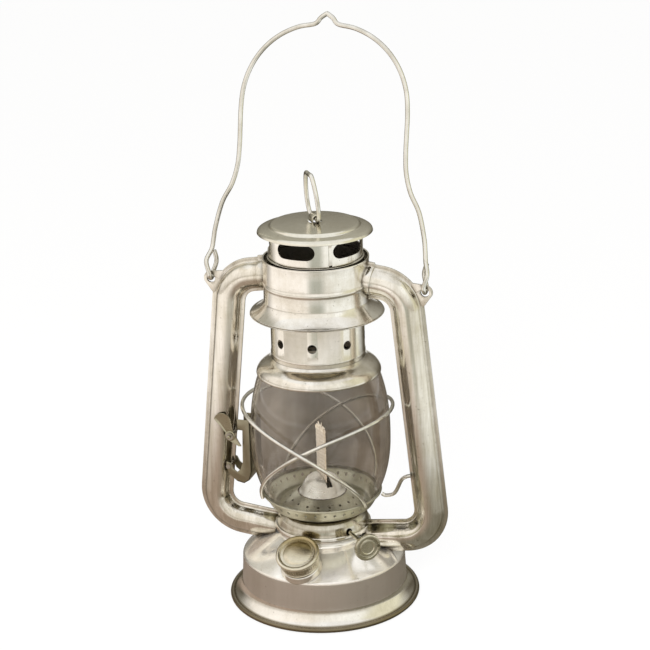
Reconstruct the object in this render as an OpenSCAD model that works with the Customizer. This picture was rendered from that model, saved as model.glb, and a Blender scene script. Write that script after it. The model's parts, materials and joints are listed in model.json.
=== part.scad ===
// Tubular hurricane lantern: tank, side tubes, hood, lifting globe carrier, chimney, wick burner and bail.
// Millimetres. Origin at the centre of the foot, +Z up, side tubes along X, front towards -Y.

/* [Sheet metal and fits] */
// Thickness of the tinned sheet
wall = 0.8; // [0.5:0.05:1]
// Free gap between pieces that move past each other
free_gap = 0.4; // [0.3:0.05:0.6]
// Radial play of a pin or spindle in its bore
pin_play = 0.06; // [0.03:0.01:0.1]
// Gap between pieces that are pressed or soldered together
seat_gap = 0.05; // [0.02:0.01:0.1]

/* [Foot and tank] */
// Radius of the rolled foot rim
foot_r = 58; // [54:0.5:64]
// Radius of the roll along the foot rim
foot_bead_r = 1.5; // [1:0.1:2]
// Height where the flared foot meets the tank
foot_h = 10.7; // [8:0.1:14]
// Radius of the tank wall at its lower edge
tank_r = 50.2; // [48:0.1:52]
// Radius of the tank wall at its shoulder
shoulder_r = 49.4; // [47:0.1:51]
// Height of the tank shoulder
shoulder_z = 28.4; // [25:0.1:34]
// Radius of the round along the shoulder
shoulder_fillet = 2; // [1:0.1:3]
// Slope of the conical tank top in degrees
tank_slope = 27.8; // [24:0.2:30]
// Radius of the raised burner boss
boss_r = 26; // [24:0.1:27]
// Height of the burner boss above the cone
boss_h = 4; // [3:0.1:5]
// Radius of the burner opening in the boss
burner_hole_r = 20; // [17:0.1:22]

/* [Filler] */
// Bearing of the filler neck, seen from above
filler_bearing = -92.5; // [-100:0.5:-85]
// Distance of the filler neck from the lantern axis
filler_dist = 38.8; // [38:0.1:40]
// Outer radius of the filler neck
neck_r = 9.8; // [8:0.1:10.5]
// Height of the filler neck along its own axis
neck_h = 12.2; // [10:0.1:14]
// Outer radius of the filler cap
cap_r = 12.8; // [12:0.1:13.4]
// Height of the filler cap above the neck's foot
cap_top = 14; // [13:0.1:16]
// Height of the cap's lower edge
cap_low = 4.2; // [3.5:0.1:6]
// Thickness of the cork gasket
gasket_t = 0.9; // [0.5:0.1:1.5]

/* [Side tubes] */
// Outer radius of a side tube
tube_r = 7.5; // [6.5:0.1:8]
// Half width of a side tube over its seam flanges
flange_half = 10.25; // [9.6:0.05:10.5]
// Thickness of one half of the seam flange
flange_t = 0.6; // [0.4:0.05:0.8]
// Bend radius of both elbows
elbow_r = 17.5; // [16:0.1:19]
// Reach of the upper corner of a tube's middle line
tube_top_x = 53.2; // [52:0.1:55]
// Height of the upper corner
tube_top_z = 198.1; // [195:0.1:200]
// Reach of the lower corner
tube_low_x = 69.4; // [68:0.1:71]
// Height of the lower corner
tube_low_z = 44.5; // [43:0.1:46]
// Fall of the upper run towards the elbow in degrees
top_fall = 8; // [5:0.5:10]
// Fall of the lower run towards the tank in degrees
low_fall = 6.9; // [5:0.1:9]
// Reach of the bail ear's hole
ear_x = 65.2; // [64:0.1:67]
// Height of the bail ear's hole
ear_z = 196; // [193:0.1:198]
// Radius of the bail ear's round end
ear_r = 4.5; // [4.2:0.1:5.5]
// Radius of the hole in a bail ear
ear_hole_r = 2.5; // [2.4:0.05:2.8]

/* [Hood] */
// Radius of the hood
hood_r = 31; // [30.5:0.1:32]
// Radius of the hood's flared brim
brim_r = 39.4; // [36:0.1:42]
// Height of the brim
brim_z = 180.5; // [178:0.1:184]
// Height where the flare ends
flare_z = 189; // [187:0.1:191]
// Height of the pressed bead
hood_bead_z = 198.5; // [197:0.1:203]
// Height of the hood's upper edge
hood_top = 214; // [211:0.1:215]
// Height of the guide ring inside the hood
guide_z = 209; // [206:0.1:210]

/* [Globe and carrier] */
// Largest radius of the glass globe
globe_r = 41.8; // [40:0.1:42.5]
// Height of the widest place of the globe
globe_mid = 103; // [99:0.5:107]
// Height of the globe's lower edge
globe_low = 66.5; // [66.4:0.1:67]
// Height of the globe's upper edge
globe_top = 147.4; // [146:0.1:147.6]
// Radius of the globe at its lower edge
globe_low_r = 34.1; // [33:0.1:34.1]
// Radius of the globe at its upper edge
globe_top_r = 34.1; // [33:0.1:34.2]
// Thickness of the glass
glass_t = 1.8; // [1.4:0.1:2.4]
// Radius of the globe plate over its rolled rim
plate_r = 36.1; // [35.8:0.1:37.5]
// Height of the globe plate's rim
plate_rim_z = 67.2; // [66.8:0.1:68]
// Height of the underside of the globe plate
plate_z = 58.4; // [58.2:0.1:59]
// Number of air holes round the globe plate
plate_holes = 36; // [24:1:40]
// Thickness of the guard wires
guard_d = 2.3; // [1.8:0.1:2.6]
// Height of the left-hand guard wire at its highest place
guard_left_top = 123.5; // [119:0.5:127]
// Height of the right-hand guard wire at its highest place
guard_right_top = 121.5; // [115:0.5:123]
// Reach of the outer guard wire from the lantern axis
guard_reach = 46.1; // [46:0.1:47]
// Travel of the globe carrier
lift_travel = 12; // [6:0.5:12]

/* [Lift lever] */
// Reach of the lever's rivet
lever_x = 54.7; // [54.5:0.1:54.8]
// Height of the lever's rivet
lever_z = 99.5; // [98:0.1:101]
// Radius of the lever's rivet
rivet_r = 0.9; // [0.7:0.05:0.95]
// Distance of the lever from the middle plane
lever_y = 7.9; // [7.8:0.1:8.6]
// Width of the channel-shaped lift band
band_w = 12.6; // [11.8:0.1:13.4]
// Radius of the guide pin in the lift band
band_pin_r = 0.9; // [0.7:0.05:1]

/* [Chimney] */
// Radius of the crown's rim
crown_r = 36.9; // [36.4:0.1:38]
// Height of the crown's rim
crown_z = 144.2; // [143:0.1:145]
// Height of the joint between crown and chimney tube
crown_top = 153.6; // [152:0.1:156]
// Radius of the chimney tube
chimney_r = 27.6; // [26.5:0.1:28]
// Height of the row of round holes above that joint
vent_rise = 12.4; // [8:0.2:16]
// Radius of the round holes
vent_r = 2.7; // [2:0.1:3.2]
// Drop from the chimney cap's rim to the middle of the long slots
slot_drop = 6; // [5.2:0.1:8]
// Height of the long slots
slot_h = 8.8; // [6:0.1:9.5]
// Number of long slots
slots = 5; // [3:1:6]
// Radius of the chimney cap
top_cap_r = 33.6; // [31:0.1:36]
// Height of the chimney cap's rim
top_cap_z = 229.2; // [228.5:0.1:230]
// Rise of the chimney cap from its rim to its middle
top_cap_rise = 5.8; // [4.8:0.1:9]
// Thickness of the lifting loop's wire
loop_d = 2.6; // [2:0.1:3]
// Height of the lifting loop
loop_h = 28.5; // [24:0.5:32]
// Lean of the lifting loop at rest in degrees
loop_lean = 6; // [0:1:20]
// Half width of the lifting loop
loop_half = 10.5; // [9:0.5:13]
// Bearing of the lifting loop's hinge line
loop_bearing = -55; // [-70:1:-50]

/* [Chimney spring] */
// Thickness of the spring's wire
spring_d = 1.1; // [0.8:0.1:1.3]
// Number of curls in the spring
spring_curls = 5; // [4:1:6]

/* [Burner] */
// Bearing of the wick's width and of the knob
wick_bearing = -47; // [-55:0.5:-40]
// Width of the wick
wick_w = 12; // [8:0.5:13]
// Thickness of the wick
wick_t = 2; // [1.5:0.1:2.2]
// Height of the wick's top
wick_top = 107; // [90:0.5:110]
// Play of the wick in its tube
wick_play = 0.4; // [0.3:0.05:0.6]
// Radius of the burner bell at its foot
bell_r = 28.6; // [28:0.1:29]
// Radius of the burner sleeve
sleeve_r = 13.3; // [12:0.1:13.6]
// Height of the burner sleeve
sleeve_top = 69; // [67:0.1:71]
// Height of the burner dome's top
dome_top = 78.1; // [76:0.1:80]
// Length of the wick slot in the dome
dome_slot = 22; // [18:0.5:24]
// Height of the ring under the burner bell
base_rim = 3; // [2:0.1:3.6]
// Radius of the wick spindle
spindle_r = 1.2; // [1:0.05:1.4]
// Radius of the feed wheels over their teeth
wheel_r = 3; // [2.6:0.1:3.2]
// Radius of the wick knob
knob_r = 8.2; // [7:0.1:9.5]
// Distance of the knob's face from the lantern axis
knob_reach = 52.5; // [49:0.1:56]

/* [Bail] */
// Thickness of the bail wire
bail_d = 2.7; // [2.2:0.1:2.8]
// Half width of the bail's arch
bail_half = 50.2; // [46:0.1:54]
// Height of the arch's centre above the hinge line
bail_side = 97; // [90:0.5:110]
// Height of the peaked bend at the top of the arch
bail_peak = 5.6; // [3:0.1:7]
// Lean of the bail at rest, backwards, in degrees
bail_lean = 13; // [0:1:20]

/* [Hidden] */
$fn = 64;
far = 400;

// Colours of the tinned sheet, the yellowed fittings, the dark steel, the glass and the cotton
tin = [0.80, 0.77, 0.71];
brassy = [0.70, 0.66, 0.50];
steel = [0.62, 0.60, 0.56];
cork = [0.45, 0.36, 0.26];
cotton = [0.90, 0.83, 0.68];
glass = [0.62, 0.58, 0.54, 0.4];

// Points of an arc about a centre
function arc(c, r, from, to, steps) =
  [for (i = [0:steps]) let (a = from + (to - from) * i / steps) c + r * [cos(a), sin(a)]];
function unit(v) = v / norm(v);
function turned_left(v) = [-v.y, v.x];
function edge_normal(p, i) = turned_left(unit(p[i + 1] - p[i]));
// Offset direction at a point of a line, mitred at the corners
function corner_offset(p, i) =
  let (
    before = edge_normal(p, max(i - 1, 0)),
    after = edge_normal(p, min(i, len(p) - 2))
  )
  (before + after) / (1 + before * after);
function shifted(p, by) = [for (i = [0:len(p) - 1]) p[i] + by * corner_offset(p, i)];
function reversed(p) = [for (i = [len(p) - 1:-1:0]) p[i]];
// Outline of a sheet whose outer face follows the points, with the metal on their left
function sheet(p, t = wall) = concat(p, reversed(shifted(p, t)));

// Smooth line through points, with the given number of steps between two of them
function smooth_point(a, b, c, d, t) =
  (2 * b + (c - a) * t + (2 * a - 5 * b + 4 * c - d) * t * t + (3 * b - a - 3 * c + d) * t * t * t) / 2;
function smooth_line(p, steps) =
  let (last = len(p) - 1)
  concat(
    [for (i = [0:last - 1]) each [for (k = [0:steps - 1])
      smooth_point(p[max(i - 1, 0)], p[i], p[i + 1], p[min(i + 2, last)], k / steps)]],
    [p[last]]
  );

function tangent(p, i) = unit(p[min(i + 1, len(p) - 1)] - p[max(i - 1, 0)]);
function any_normal(t) = unit(cross(t, abs(t.x) < 0.6 ? [1, 0, 0] : [0, 1, 0]));
function carried(n, t) = unit(n - (n * t) * t);
// Normals carried along a line with no twist
function line_normals(p) =
  [for (i = 0, n = any_normal(tangent(p, 0)); i < len(p);
        i = i + 1, n = carried(n, tangent(p, min(i, len(p) - 1)))) n];

// Round wire of a radius along a line
module wire(p, r, sides = 8) {
  normals = line_normals(p);
  rings = len(p);
  points = [for (i = [0:rings - 1]) for (k = [0:sides - 1])
    let (a = 360 * k / sides, n = normals[i], b = cross(tangent(p, i), n))
    p[i] + r * (cos(a) * n + sin(a) * b)];
  walls = [for (i = [0:rings - 2]) for (k = [0:sides - 1])
    let (next = (k + 1) % sides, low = i * sides, high = (i + 1) * sides)
    each [[low + k, high + k, low + next], [low + next, high + k, high + next]]];
  first = [for (k = [1:sides - 2]) [0, k, k + 1]];
  top = (rings - 1) * sides;
  last = [for (k = [1:sides - 2]) [top, top + k + 1, top + k]];
  polyhedron(points, concat(walls, first, last), convexity = 10);
}

// Turned solid; points past the axis are brought back to it
module turned(outline) {
  rotate_extrude()
    polygon([for (p = outline) [max(p.x, 0), p.y]]);
}

// Evenly spaced copies round the lantern axis
module ring_of(count, first = 0) {
  for (i = [0:count - 1])
    rotate([0, 0, first + 360 * i / count])
      children();
}

// Tank: foot, drum, cone and boss in one profile
cone_start_r = shoulder_r - shoulder_fillet * (1 - sin(tank_slope));
cone_start_z = shoulder_z - shoulder_fillet * (1 - cos(tank_slope));
function cone_z(r) = cone_start_z + (cone_start_r - r) * tan(tank_slope);
cone_top_z = cone_z(boss_r);
boss_top = cone_top_z + boss_h;
shoulder_centre = [shoulder_r - shoulder_fillet, shoulder_z - shoulder_fillet];
tank_line = concat(
  [[tank_r, foot_h]],
  arc(shoulder_centre, shoulder_fillet, 0, 90 - tank_slope, 4),
  [[boss_r, cone_top_z], [boss_r, boss_top], [burner_hole_r, boss_top]]
);
foot_flare = 1.7;
foot_steps = 6;
foot_ledge = 4;
foot_line = [for (i = [0:foot_steps])
  let (t = i / foot_steps, reach = foot_r - foot_bead_r - tank_r)
  [tank_r + reach * pow(1 - t, foot_flare), foot_bead_r + (foot_h - foot_bead_r) * t]];
floor_dish = 1.2;

// Rolled rim with a narrow flat to stand on
module foot_skirt() {
  flat = 60;
  roll_centre = [foot_r - foot_bead_r, foot_bead_r * sin(flat)];
  color(tin)
    union() {
      turned(sheet(concat(foot_line, [[tank_r - foot_ledge, foot_h]])));
      turned(arc(roll_centre, foot_bead_r, -flat, 180 + flat, 12));
    }
}

// Everything inside the tank's outer faces, grown by a gap
module tank_bulk(gap) {
  turned(concat([[0, 0], [tank_r + gap, 0]], shifted(tank_line, -gap), [[0, boss_top + gap]]));
}

module tank_shell() {
  color(tin)
    difference() {
      turned(sheet(tank_line));
      at_filler()
        cylinder(r = neck_r + seat_gap, h = 4 * neck_h, center = true);
    }
}

module tank_floor() {
  floor_r = tank_r - wall - 3 * seat_gap;
  rise_in = floor_r - 2 * floor_dish;
  rise_out = floor_r - floor_dish;
  dish_z = foot_h + floor_dish;
  color(tin)
    turned([[0, dish_z], [rise_in, dish_z], [rise_out, foot_h], [floor_r, foot_h],
      [floor_r, foot_h + wall], [rise_out, foot_h + wall], [rise_in, dish_z + wall], [0, dish_z + wall]]);
}

// Filler: neck, gasket and cap on an axis square to the tank's cone
neck_collar_h = cap_low - free_gap;
gasket_z = neck_h + seat_gap;
cap_roof = gasket_z + gasket_t + seat_gap;
cap_rim = 0.8;

module at_filler() {
  rotate([0, 0, filler_bearing])
    translate([filler_dist, 0, cone_z(filler_dist)])
      rotate([0, tank_slope, 0])
        children();
}

module filler_neck() {
  color(brassy)
    difference() {
      at_filler()
        difference() {
          union() {
            translate([0, 0, -neck_r / 3])
              cylinder(r = neck_r, h = neck_h + neck_r / 3);
            translate([0, 0, -neck_r / 3])
              cylinder(r = cap_r - wall, h = neck_collar_h + neck_r / 3);
          }
          cylinder(r = neck_r - wall, h = 4 * neck_h, center = true);
        }
      difference() {
        tank_bulk(seat_gap);
        at_filler()
          cylinder(r = neck_r, h = 4 * neck_h, center = true);
      }
    }
}

module filler_gasket() {
  color(cork)
    at_filler()
      translate([0, 0, gasket_z])
        difference() {
          cylinder(r = neck_r + seat_gap, h = gasket_t);
          translate([0, 0, -far / 2])
            cylinder(r = neck_r / 2, h = far);
        }
}

module filler_cap() {
  inside_r = neck_r + free_gap;
  color(brassy)
    at_filler()
      turned([[0, cap_roof], [inside_r, cap_roof], [inside_r, cap_low], [cap_r, cap_low],
        [cap_r, cap_top - cap_rim], [cap_r + cap_rim / 2, cap_top - cap_rim / 2], [cap_r, cap_top],
        [cap_r - 2 * cap_rim, cap_top], [cap_r - 3 * cap_rim, cap_top - cap_rim],
        [cap_r / 2, cap_top - cap_rim / 2], [0, cap_top - cap_rim / 4]]);
}

// Side tubes: each is two pressed halves that meet at the seam plane
tube_inset = 3;
tube_top = [tube_top_x, tube_top_z];
tube_low = [tube_low_x, tube_low_z];
head_x = hood_r - tube_inset;
foot_x = bell_r - tube_inset;
tube_head = [head_x, tube_top_z + (tube_top_x - head_x) * tan(top_fall)];
tube_foot = [foot_x, tube_low_z - (tube_low_x - foot_x) * tan(low_fall)];
run_top = unit(tube_top - tube_head);
run_mid = unit(tube_low - tube_top);
run_low = unit(tube_foot - tube_low);
function bearing(v) = atan2(v.y, v.x);
tube_lean = (tube_low_x - tube_top_x) / (tube_top_z - tube_low_z);
function tube_x(z) = tube_top_x + (tube_top_z - z) * tube_lean;
band_pin_x = 57.4;
band_pin_z = 78.5;
slot_half = band_pin_r + free_gap;

// One half of the tube's section: its outer chain over the seam flanges, then its bore
section_steps = 10;
flange_foot = asin(flange_t / tube_r);
section_outer = concat(
  [[-flange_half, 0], [-flange_half, flange_t]],
  arc([0, 0], tube_r, 180 - flange_foot, flange_foot, section_steps),
  [[flange_half, flange_t], [flange_half, 0]]
);
section_inner = arc([0, 0], tube_r - wall, 0, 180, section_steps);
section = concat(section_outer, section_inner);
outer_last = len(section_outer) - 1;
section_last = len(section) - 1;
// Four-cornered pieces that cover the section's end face
section_quads = concat(
  [[0, 1, 2, section_last], [outer_last - 2, outer_last - 1, outer_last, outer_last + 1]],
  [for (i = [0:section_steps - 1]) [2 + i, 3 + i, section_last - i - 1, section_last - i]]
);

// Elbow centre at a corner, between two directions that turn clockwise
function elbow_reach(before, after) = elbow_r * tan(acos(before * after) / 2);
function elbow_centre(corner, before, after) =
  corner - elbow_reach(before, after) * before - elbow_r * turned_left(before);
elbow_steps = 8;
top_centre = elbow_centre(tube_top, run_top, run_mid);
low_centre = elbow_centre(tube_low, run_mid, run_low);
// Stations along the tube: a point of the middle line and the outward direction there
function elbow_stations(centre, before, after) =
  [for (i = [0:elbow_steps])
    let (
      from = bearing(turned_left(before)),
      to = bearing(turned_left(after)),
      a = from + (to - from) * i / elbow_steps,
      out = [cos(a), sin(a)]
    )
    [centre + elbow_r * out, out]];
tube_stations = concat(
  [[tube_head, turned_left(run_top)]],
  elbow_stations(top_centre, run_top, run_mid),
  elbow_stations(low_centre, run_mid, run_low),
  [[tube_foot, turned_left(run_low)]]
);

// Back half of the right tube, drawn along its stations
module tube_sweep() {
  per = len(section);
  count = len(tube_stations);
  points = [for (s = tube_stations) for (q = section)
    [s[0].x + q.x * s[1].x, q.y, s[0].y + q.x * s[1].y]];
  walls = [for (i = [0:count - 2]) for (k = [0:per - 1])
    let (next = (k + 1) % per, here = i * per, there = (i + 1) * per)
    each [[here + k, there + k, here + next], [here + next, there + k, there + next]]];
  top = (count - 1) * per;
  ends = [for (q = section_quads)
    each [[q[0], q[1], q[2]], [q[0], q[2], q[3]],
      [top + q[0], top + q[2], top + q[1]], [top + q[0], top + q[3], top + q[2]]]];
  polyhedron(points, concat(walls, ends), convexity = 10);
}

// Ear for the bail, on the flange of the upper elbow between two bearings of its bend
module ear_plate() {
  ear_from = 9;
  ear_to = 43;
  root_r = elbow_r + tube_r + free_gap;
  edge_r = elbow_r + flange_half - flange_t;
  rotate([90, 0, 0])
    mirror([0, 0, 1])
      difference() {
        union() {
          translate([ear_x, ear_z])
            cylinder(r = ear_r, h = flange_t);
          linear_extrude(flange_t)
            polygon(concat(
              arc(top_centre, edge_r, ear_from, ear_from + 1, 1),
              arc(top_centre, root_r, ear_from + 4, ear_to - 4, 4),
              arc(top_centre, edge_r, ear_to - 1, ear_to, 1),
              arc([ear_x, ear_z], ear_r, 88, -20, 6)
            ));
        }
        translate([ear_x, ear_z, -flange_t])
          cylinder(r = ear_hole_r, h = 4 * flange_t);
      }
}

// Back half of the right tube with its ear; the other halves are its mirror images
module tube_half() {
  difference() {
    union() {
      tube_sweep();
      ear_plate();
    }
    translate([0, 0, brim_z])
      cylinder(r = hood_r + seat_gap, h = far);
    tank_bulk(seat_gap);
    cylinder(r = bell_r + 2 * wall, h = globe_mid);
  }
}

module left_tube_half() {
  difference() {
    mirror([1, 0, 0])
      tube_half();
    translate([-band_pin_x - slot_half, -far / 2, band_pin_z - 2 * slot_half])
      cube([2 * slot_half, far, lift_travel + 4 * slot_half]);
    translate([-lever_x, 0, lever_z])
      rotate([90, 0, 0])
        cylinder(r = rivet_r + seat_gap, h = far, center = true);
  }
}

module right_tube_back() {
  color(tin)
    tube_half();
}

module right_tube_front() {
  color(tin)
    mirror([0, 1, 0])
      tube_half();
}

module left_tube_back() {
  color(tin)
    left_tube_half();
}

module left_tube_front() {
  color(tin)
    mirror([0, 1, 0])
      left_tube_half();
}

// Hood, its guide ring and the spring that presses the chimney down
hood_bead = 0.6;
hood_bead_half = 1.5;
hood_flare = 1.8;
hood_steps = 5;
brim_drop = flare_z - brim_z;
hood_line = concat(
  [for (i = [0:hood_steps]) let (t = i / hood_steps)
    [hood_r + (brim_r - hood_r) * pow(1 - t, hood_flare), brim_z + brim_drop * t]],
  [[hood_r, hood_bead_z - hood_bead_half], [hood_r + hood_bead, hood_bead_z],
    [hood_r, hood_bead_z + hood_bead_half], [hood_r, hood_top]]
);

module hood() {
  color(tin)
    difference() {
      turned(sheet(hood_line));
      for (side = [0, 180])
        rotate([0, 0, side])
          translate([tube_head.x, 0, tube_head.y])
            rotate([0, 90 + top_fall, 0])
              cylinder(r = tube_r - wall, h = 4 * tube_r, center = true);
    }
}

guide_t = 1;
guide_r = hood_r - wall - seat_gap;

module guide_ring() {
  color(brassy)
    turned([[chimney_r + 2 * free_gap, guide_z], [guide_r, guide_z], [guide_r, guide_z + guide_t],
      [chimney_r + 2 * free_gap, guide_z + guide_t]]);
}

collar_t = 1;
collar_z = brim_z + 2 * wall;
spring_air = 0.2;
spring_r = chimney_r + free_gap + spring_d / 2 + spring_air;
spring_low = collar_z + collar_t + spring_d / 2 + spring_air / 2;
spring_high = guide_z - spring_d / 2 - spring_air / 2;
curl_rings = 24;
spring_rings = spring_curls * curl_rings;
spring_line = [for (i = [0:spring_rings])
  let (t = i / spring_rings, a = 360 * spring_curls * t)
  [spring_r * cos(a), spring_r * sin(a), spring_low + (spring_high - spring_low) * t]];
spring_steps = [for (i = [0:spring_rings - curl_rings]) norm(spring_line[i + curl_rings] - spring_line[i])];
spring_gap = min(spring_steps) - spring_d;

module chimney_spring() {
  color(steel)
    wire(spring_line, spring_d / 2, 6);
}

// Burner: cup-shaped base, bell, dome, wick tube and brackets
base_t = 0.8;
base_lip = 0.4;
bell_eye = 0.4;
base_low = boss_top + seat_gap;
base_top = base_low + base_t;
base_rim_z = base_low + base_rim;
base_r = bell_r + base_lip;
bell_top = plate_z - free_gap;
bell_rise = bell_top - base_rim_z;
bell_line = [[bell_r, base_rim_z], [bell_r, base_rim_z + 0.06 * bell_rise],
  [bell_r - 0.4, base_rim_z + 0.21 * bell_rise],
  [bell_r - 1.6, base_rim_z + 0.41 * bell_rise], [bell_r - 4, base_rim_z + 0.62 * bell_rise],
  [bell_r - 7.1, base_rim_z + 0.8 * bell_rise], [bell_r - 9.6, bell_top],
  [sleeve_r, bell_top], [sleeve_r, sleeve_top]];
spindle_z = base_rim_z + spindle_r + free_gap;
tube_wall = 0.5;
wick_tube_w = wick_w + 2 * wick_play + 2 * tube_wall;
wick_tube_t = wick_t + 2 * wick_play + 2 * tube_wall;
wick_tube_low = boss_top - 6;
wick_tube_top = dome_top - 4;
wheel_play = 0.15;
spindle_off = wick_t / 2 + wheel_play + wheel_r;
bracket_t = 1.4;
bracket_u = wick_tube_w / 2 + bracket_t / 2 + 2 * seat_gap;
bracket_at = [-bracket_u, bracket_u];
wheel_at = [-3.4, 3.4];
wheel_t = 1.6;

// Local frame of the burner: X along the wick's width and the spindle
module at_wick() {
  rotate([0, 0, wick_bearing])
    children();
}

// Local frame of the spindle: Z along it, outwards
module at_spindle() {
  at_wick()
    translate([0, spindle_off, spindle_z])
      rotate([0, 90, 0])
        children();
}

module box_about(size, low) {
  translate([-size.x / 2, -size.y / 2, low])
    cube(size);
}

module burner_base() {
  collar_depth = 4;
  collar_r = burner_hole_r - 2 * seat_gap;
  rim_in = bell_r - wall;
  color(brassy)
    difference() {
      turned([[0, base_low], [collar_r - wall, base_low], [collar_r - wall, base_low - collar_depth],
        [collar_r, base_low - collar_depth], [collar_r, base_low], [base_r, base_low], [base_r, base_rim_z],
        [rim_in, base_rim_z], [rim_in, base_top], [0, base_top]]);
      at_wick()
        box_about([wick_tube_w + 2 * seat_gap, wick_tube_t + 2 * seat_gap, far], 0);
    }
}

module burner_bell() {
  slot_w = 2 * spindle_r + 2 * free_gap;
  eye_r = slot_w / 2 + bell_eye;
  color(tin)
    difference() {
      turned(sheet(bell_line));
      at_wick()
        translate([0, spindle_off - slot_w / 2, base_top])
          cube([far, slot_w, spindle_z - base_top]);
      at_spindle()
        cylinder(r = eye_r, h = far);
    }
}

dome_lip = 0.2;
dome_r = sleeve_r + dome_lip;
dome_low = sleeve_top + seat_gap;
dome_foot = dome_low + wall;
dome_line = concat(
  [[dome_r, dome_low]],
  [for (a = [0:18:72]) [dome_r * cos(a), dome_foot + (dome_top - dome_foot) * sin(a)]],
  [[0, dome_top]]
);

module burner_dome() {
  slot_t = wick_tube_t - 2 * tube_wall + 2 * wick_play;
  color(tin)
    difference() {
      turned(sheet(dome_line));
      at_wick()
        box_about([dome_slot, slot_t, far], dome_low);
    }
}

module wick_tube() {
  color(brassy)
    at_wick()
      difference() {
        box_about([wick_tube_w, wick_tube_t, wick_tube_top - wick_tube_low], wick_tube_low);
        box_about([wick_tube_w - 2 * tube_wall, wick_tube_t - 2 * tube_wall, far], 0);
        translate([-wick_tube_w / 2 + 2 * tube_wall, 0, spindle_z - wheel_r - free_gap])
          cube([wick_tube_w - 4 * tube_wall, far, 2 * wheel_r + 2 * free_gap]);
      }
}

module spindle_brackets() {
  half = 2.6;
  color(brassy)
    difference() {
      at_wick()
        for (u = bracket_at)
          translate([u - bracket_t / 2, spindle_off - half, base_top])
            cube([bracket_t, 2 * half, spindle_z + half - base_top]);
      at_spindle()
        cylinder(r = spindle_r + pin_play, h = far, center = true);
    }
}

module wick_spindle() {
  tail = -bracket_at[0] + bracket_t;
  color(steel)
    at_spindle()
      translate([0, 0, -tail])
        cylinder(r = spindle_r, h = knob_reach - knob_skin + tail);
}

module feed_wheels() {
  teeth = 12;
  root = 0.75;
  color(steel)
    at_spindle()
      for (u = wheel_at)
        translate([0, 0, u - wheel_t / 2])
          difference() {
            linear_extrude(wheel_t)
              polygon([for (i = [0:2 * teeth - 1])
                wheel_r * (i % 2 == 0 ? 1 : root) * [cos(180 * i / teeth), sin(180 * i / teeth)]]);
            translate([0, 0, -wheel_t])
              cylinder(r = spindle_r + seat_gap, h = 3 * wheel_t);
          }
}

knob_t = 2.6;
knob_groove = 0.5;
knob_round = 0.6;
knob_skin = 1;

module wick_knob() {
  bore = spindle_r + seat_gap;
  hub_r = 2.6;
  hub_h = 6;
  back = knob_reach - knob_t;
  groove_z = knob_reach - knob_groove;
  bore_end = knob_reach - knob_skin + seat_gap;
  eye_r = 0.8;
  color(brassy)
    at_spindle()
      difference() {
        turned([[bore, back - hub_h], [hub_r, back - hub_h], [hub_r, back], [knob_r - knob_round, back],
          [knob_r, back + knob_round], [knob_r, knob_reach - knob_round], [knob_r - knob_round, knob_reach],
          [knob_r * 0.72, knob_reach], [knob_r * 0.66, groove_z], [knob_r * 0.58, groove_z],
          [knob_r * 0.5, knob_reach], [0, knob_reach], [0, bore_end], [bore, bore_end]]);
        translate([0, knob_r * 0.8, back - hub_h])
          cylinder(r = eye_r, h = far);
      }
}

// Wick: the straight upper part and the slack tail in the tank
wick_rise = 0.8;
wick_low = base_low + wick_rise;
tail_bend = 7;

module wick() {
  color(cotton)
    at_wick()
      box_about([wick_w, wick_t, wick_top - wick_low], wick_low);
}

module wick_tail() {
  floor_z = foot_h + floor_dish + wall + wick_t;
  tail_top = wick_low - seat_gap;
  color(cotton)
    at_wick()
      translate([-wick_w / 2, 0, 0])
        rotate([90, 0, 90])
          linear_extrude(wick_w)
            polygon(sheet(concat(
              [[wick_t / 2, tail_top], [wick_t / 2, floor_z + tail_bend]],
              arc([wick_t / 2 - tail_bend, floor_z + tail_bend], tail_bend, -15, -90, 5),
              [[-2 * tail_bend, floor_z]]), -wick_t));
}

// Globe carrier: plate, guard wires, arms, band and globe
plate_bead_r = 0.7;
plate_cone_h = 7.4;
plate_line = [[plate_r - plate_bead_r, plate_rim_z - plate_bead_r / 2], [plate_r - 2.9, plate_rim_z - 3.8],
  [plate_r - 5.1, plate_z + 1.2], [plate_r - 6.6, plate_z], [plate_r - 10.1, plate_z],
  [sleeve_r + 3 * free_gap, plate_z + plate_cone_h]];
plate_hole_r = 1.1;
cone_holes = 18;
cone_hole_r = 1.2;
cone_row = 3.6;

module globe_plate() {
  outer_low = plate_line[2];
  outer_high = plate_line[1];
  mid = (outer_low + outer_high) / 2;
  tilt = atan2(outer_high.x - outer_low.x, outer_high.y - outer_low.y);
  inner_mid = (plate_line[4] + plate_line[5]) / 2;
  inner_tilt = atan2(plate_line[5].y - plate_line[4].y, plate_line[4].x - plate_line[5].x);
  color(tin)
    difference() {
      union() {
        turned(sheet(reversed(plate_line)));
        rotate_extrude()
          translate([plate_r - plate_bead_r, plate_rim_z])
            circle(r = plate_bead_r, $fn = 32);
      }
      ring_of(plate_holes)
        translate([mid.x, 0, mid.y])
          rotate([0, 90 + tilt, 0])
            cylinder(r = plate_hole_r, h = 4 * wall, center = true);
      for (row = [0, 1]) {
        out = row * cone_row - cone_row / 3;
        ring_of(cone_holes, row * 180 / cone_holes)
          translate([inner_mid.x + out, 0, inner_mid.y - out * tan(inner_tilt)])
            rotate([0, inner_tilt, 0])
              cylinder(r = cone_hole_r, h = 4 * wall, center = true);
      }
    }
}

guard_steps = 40;
guard_clear = 0.5;
guard_low_r = plate_r + guard_d / 2 + 2 * seat_gap;
guard_draw = 10;
guard_drop = 2.5;
outer_front_end = 150;
outer_back_end = 138;
inner_front_end = 145;
inner_back_end = 148;
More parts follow.
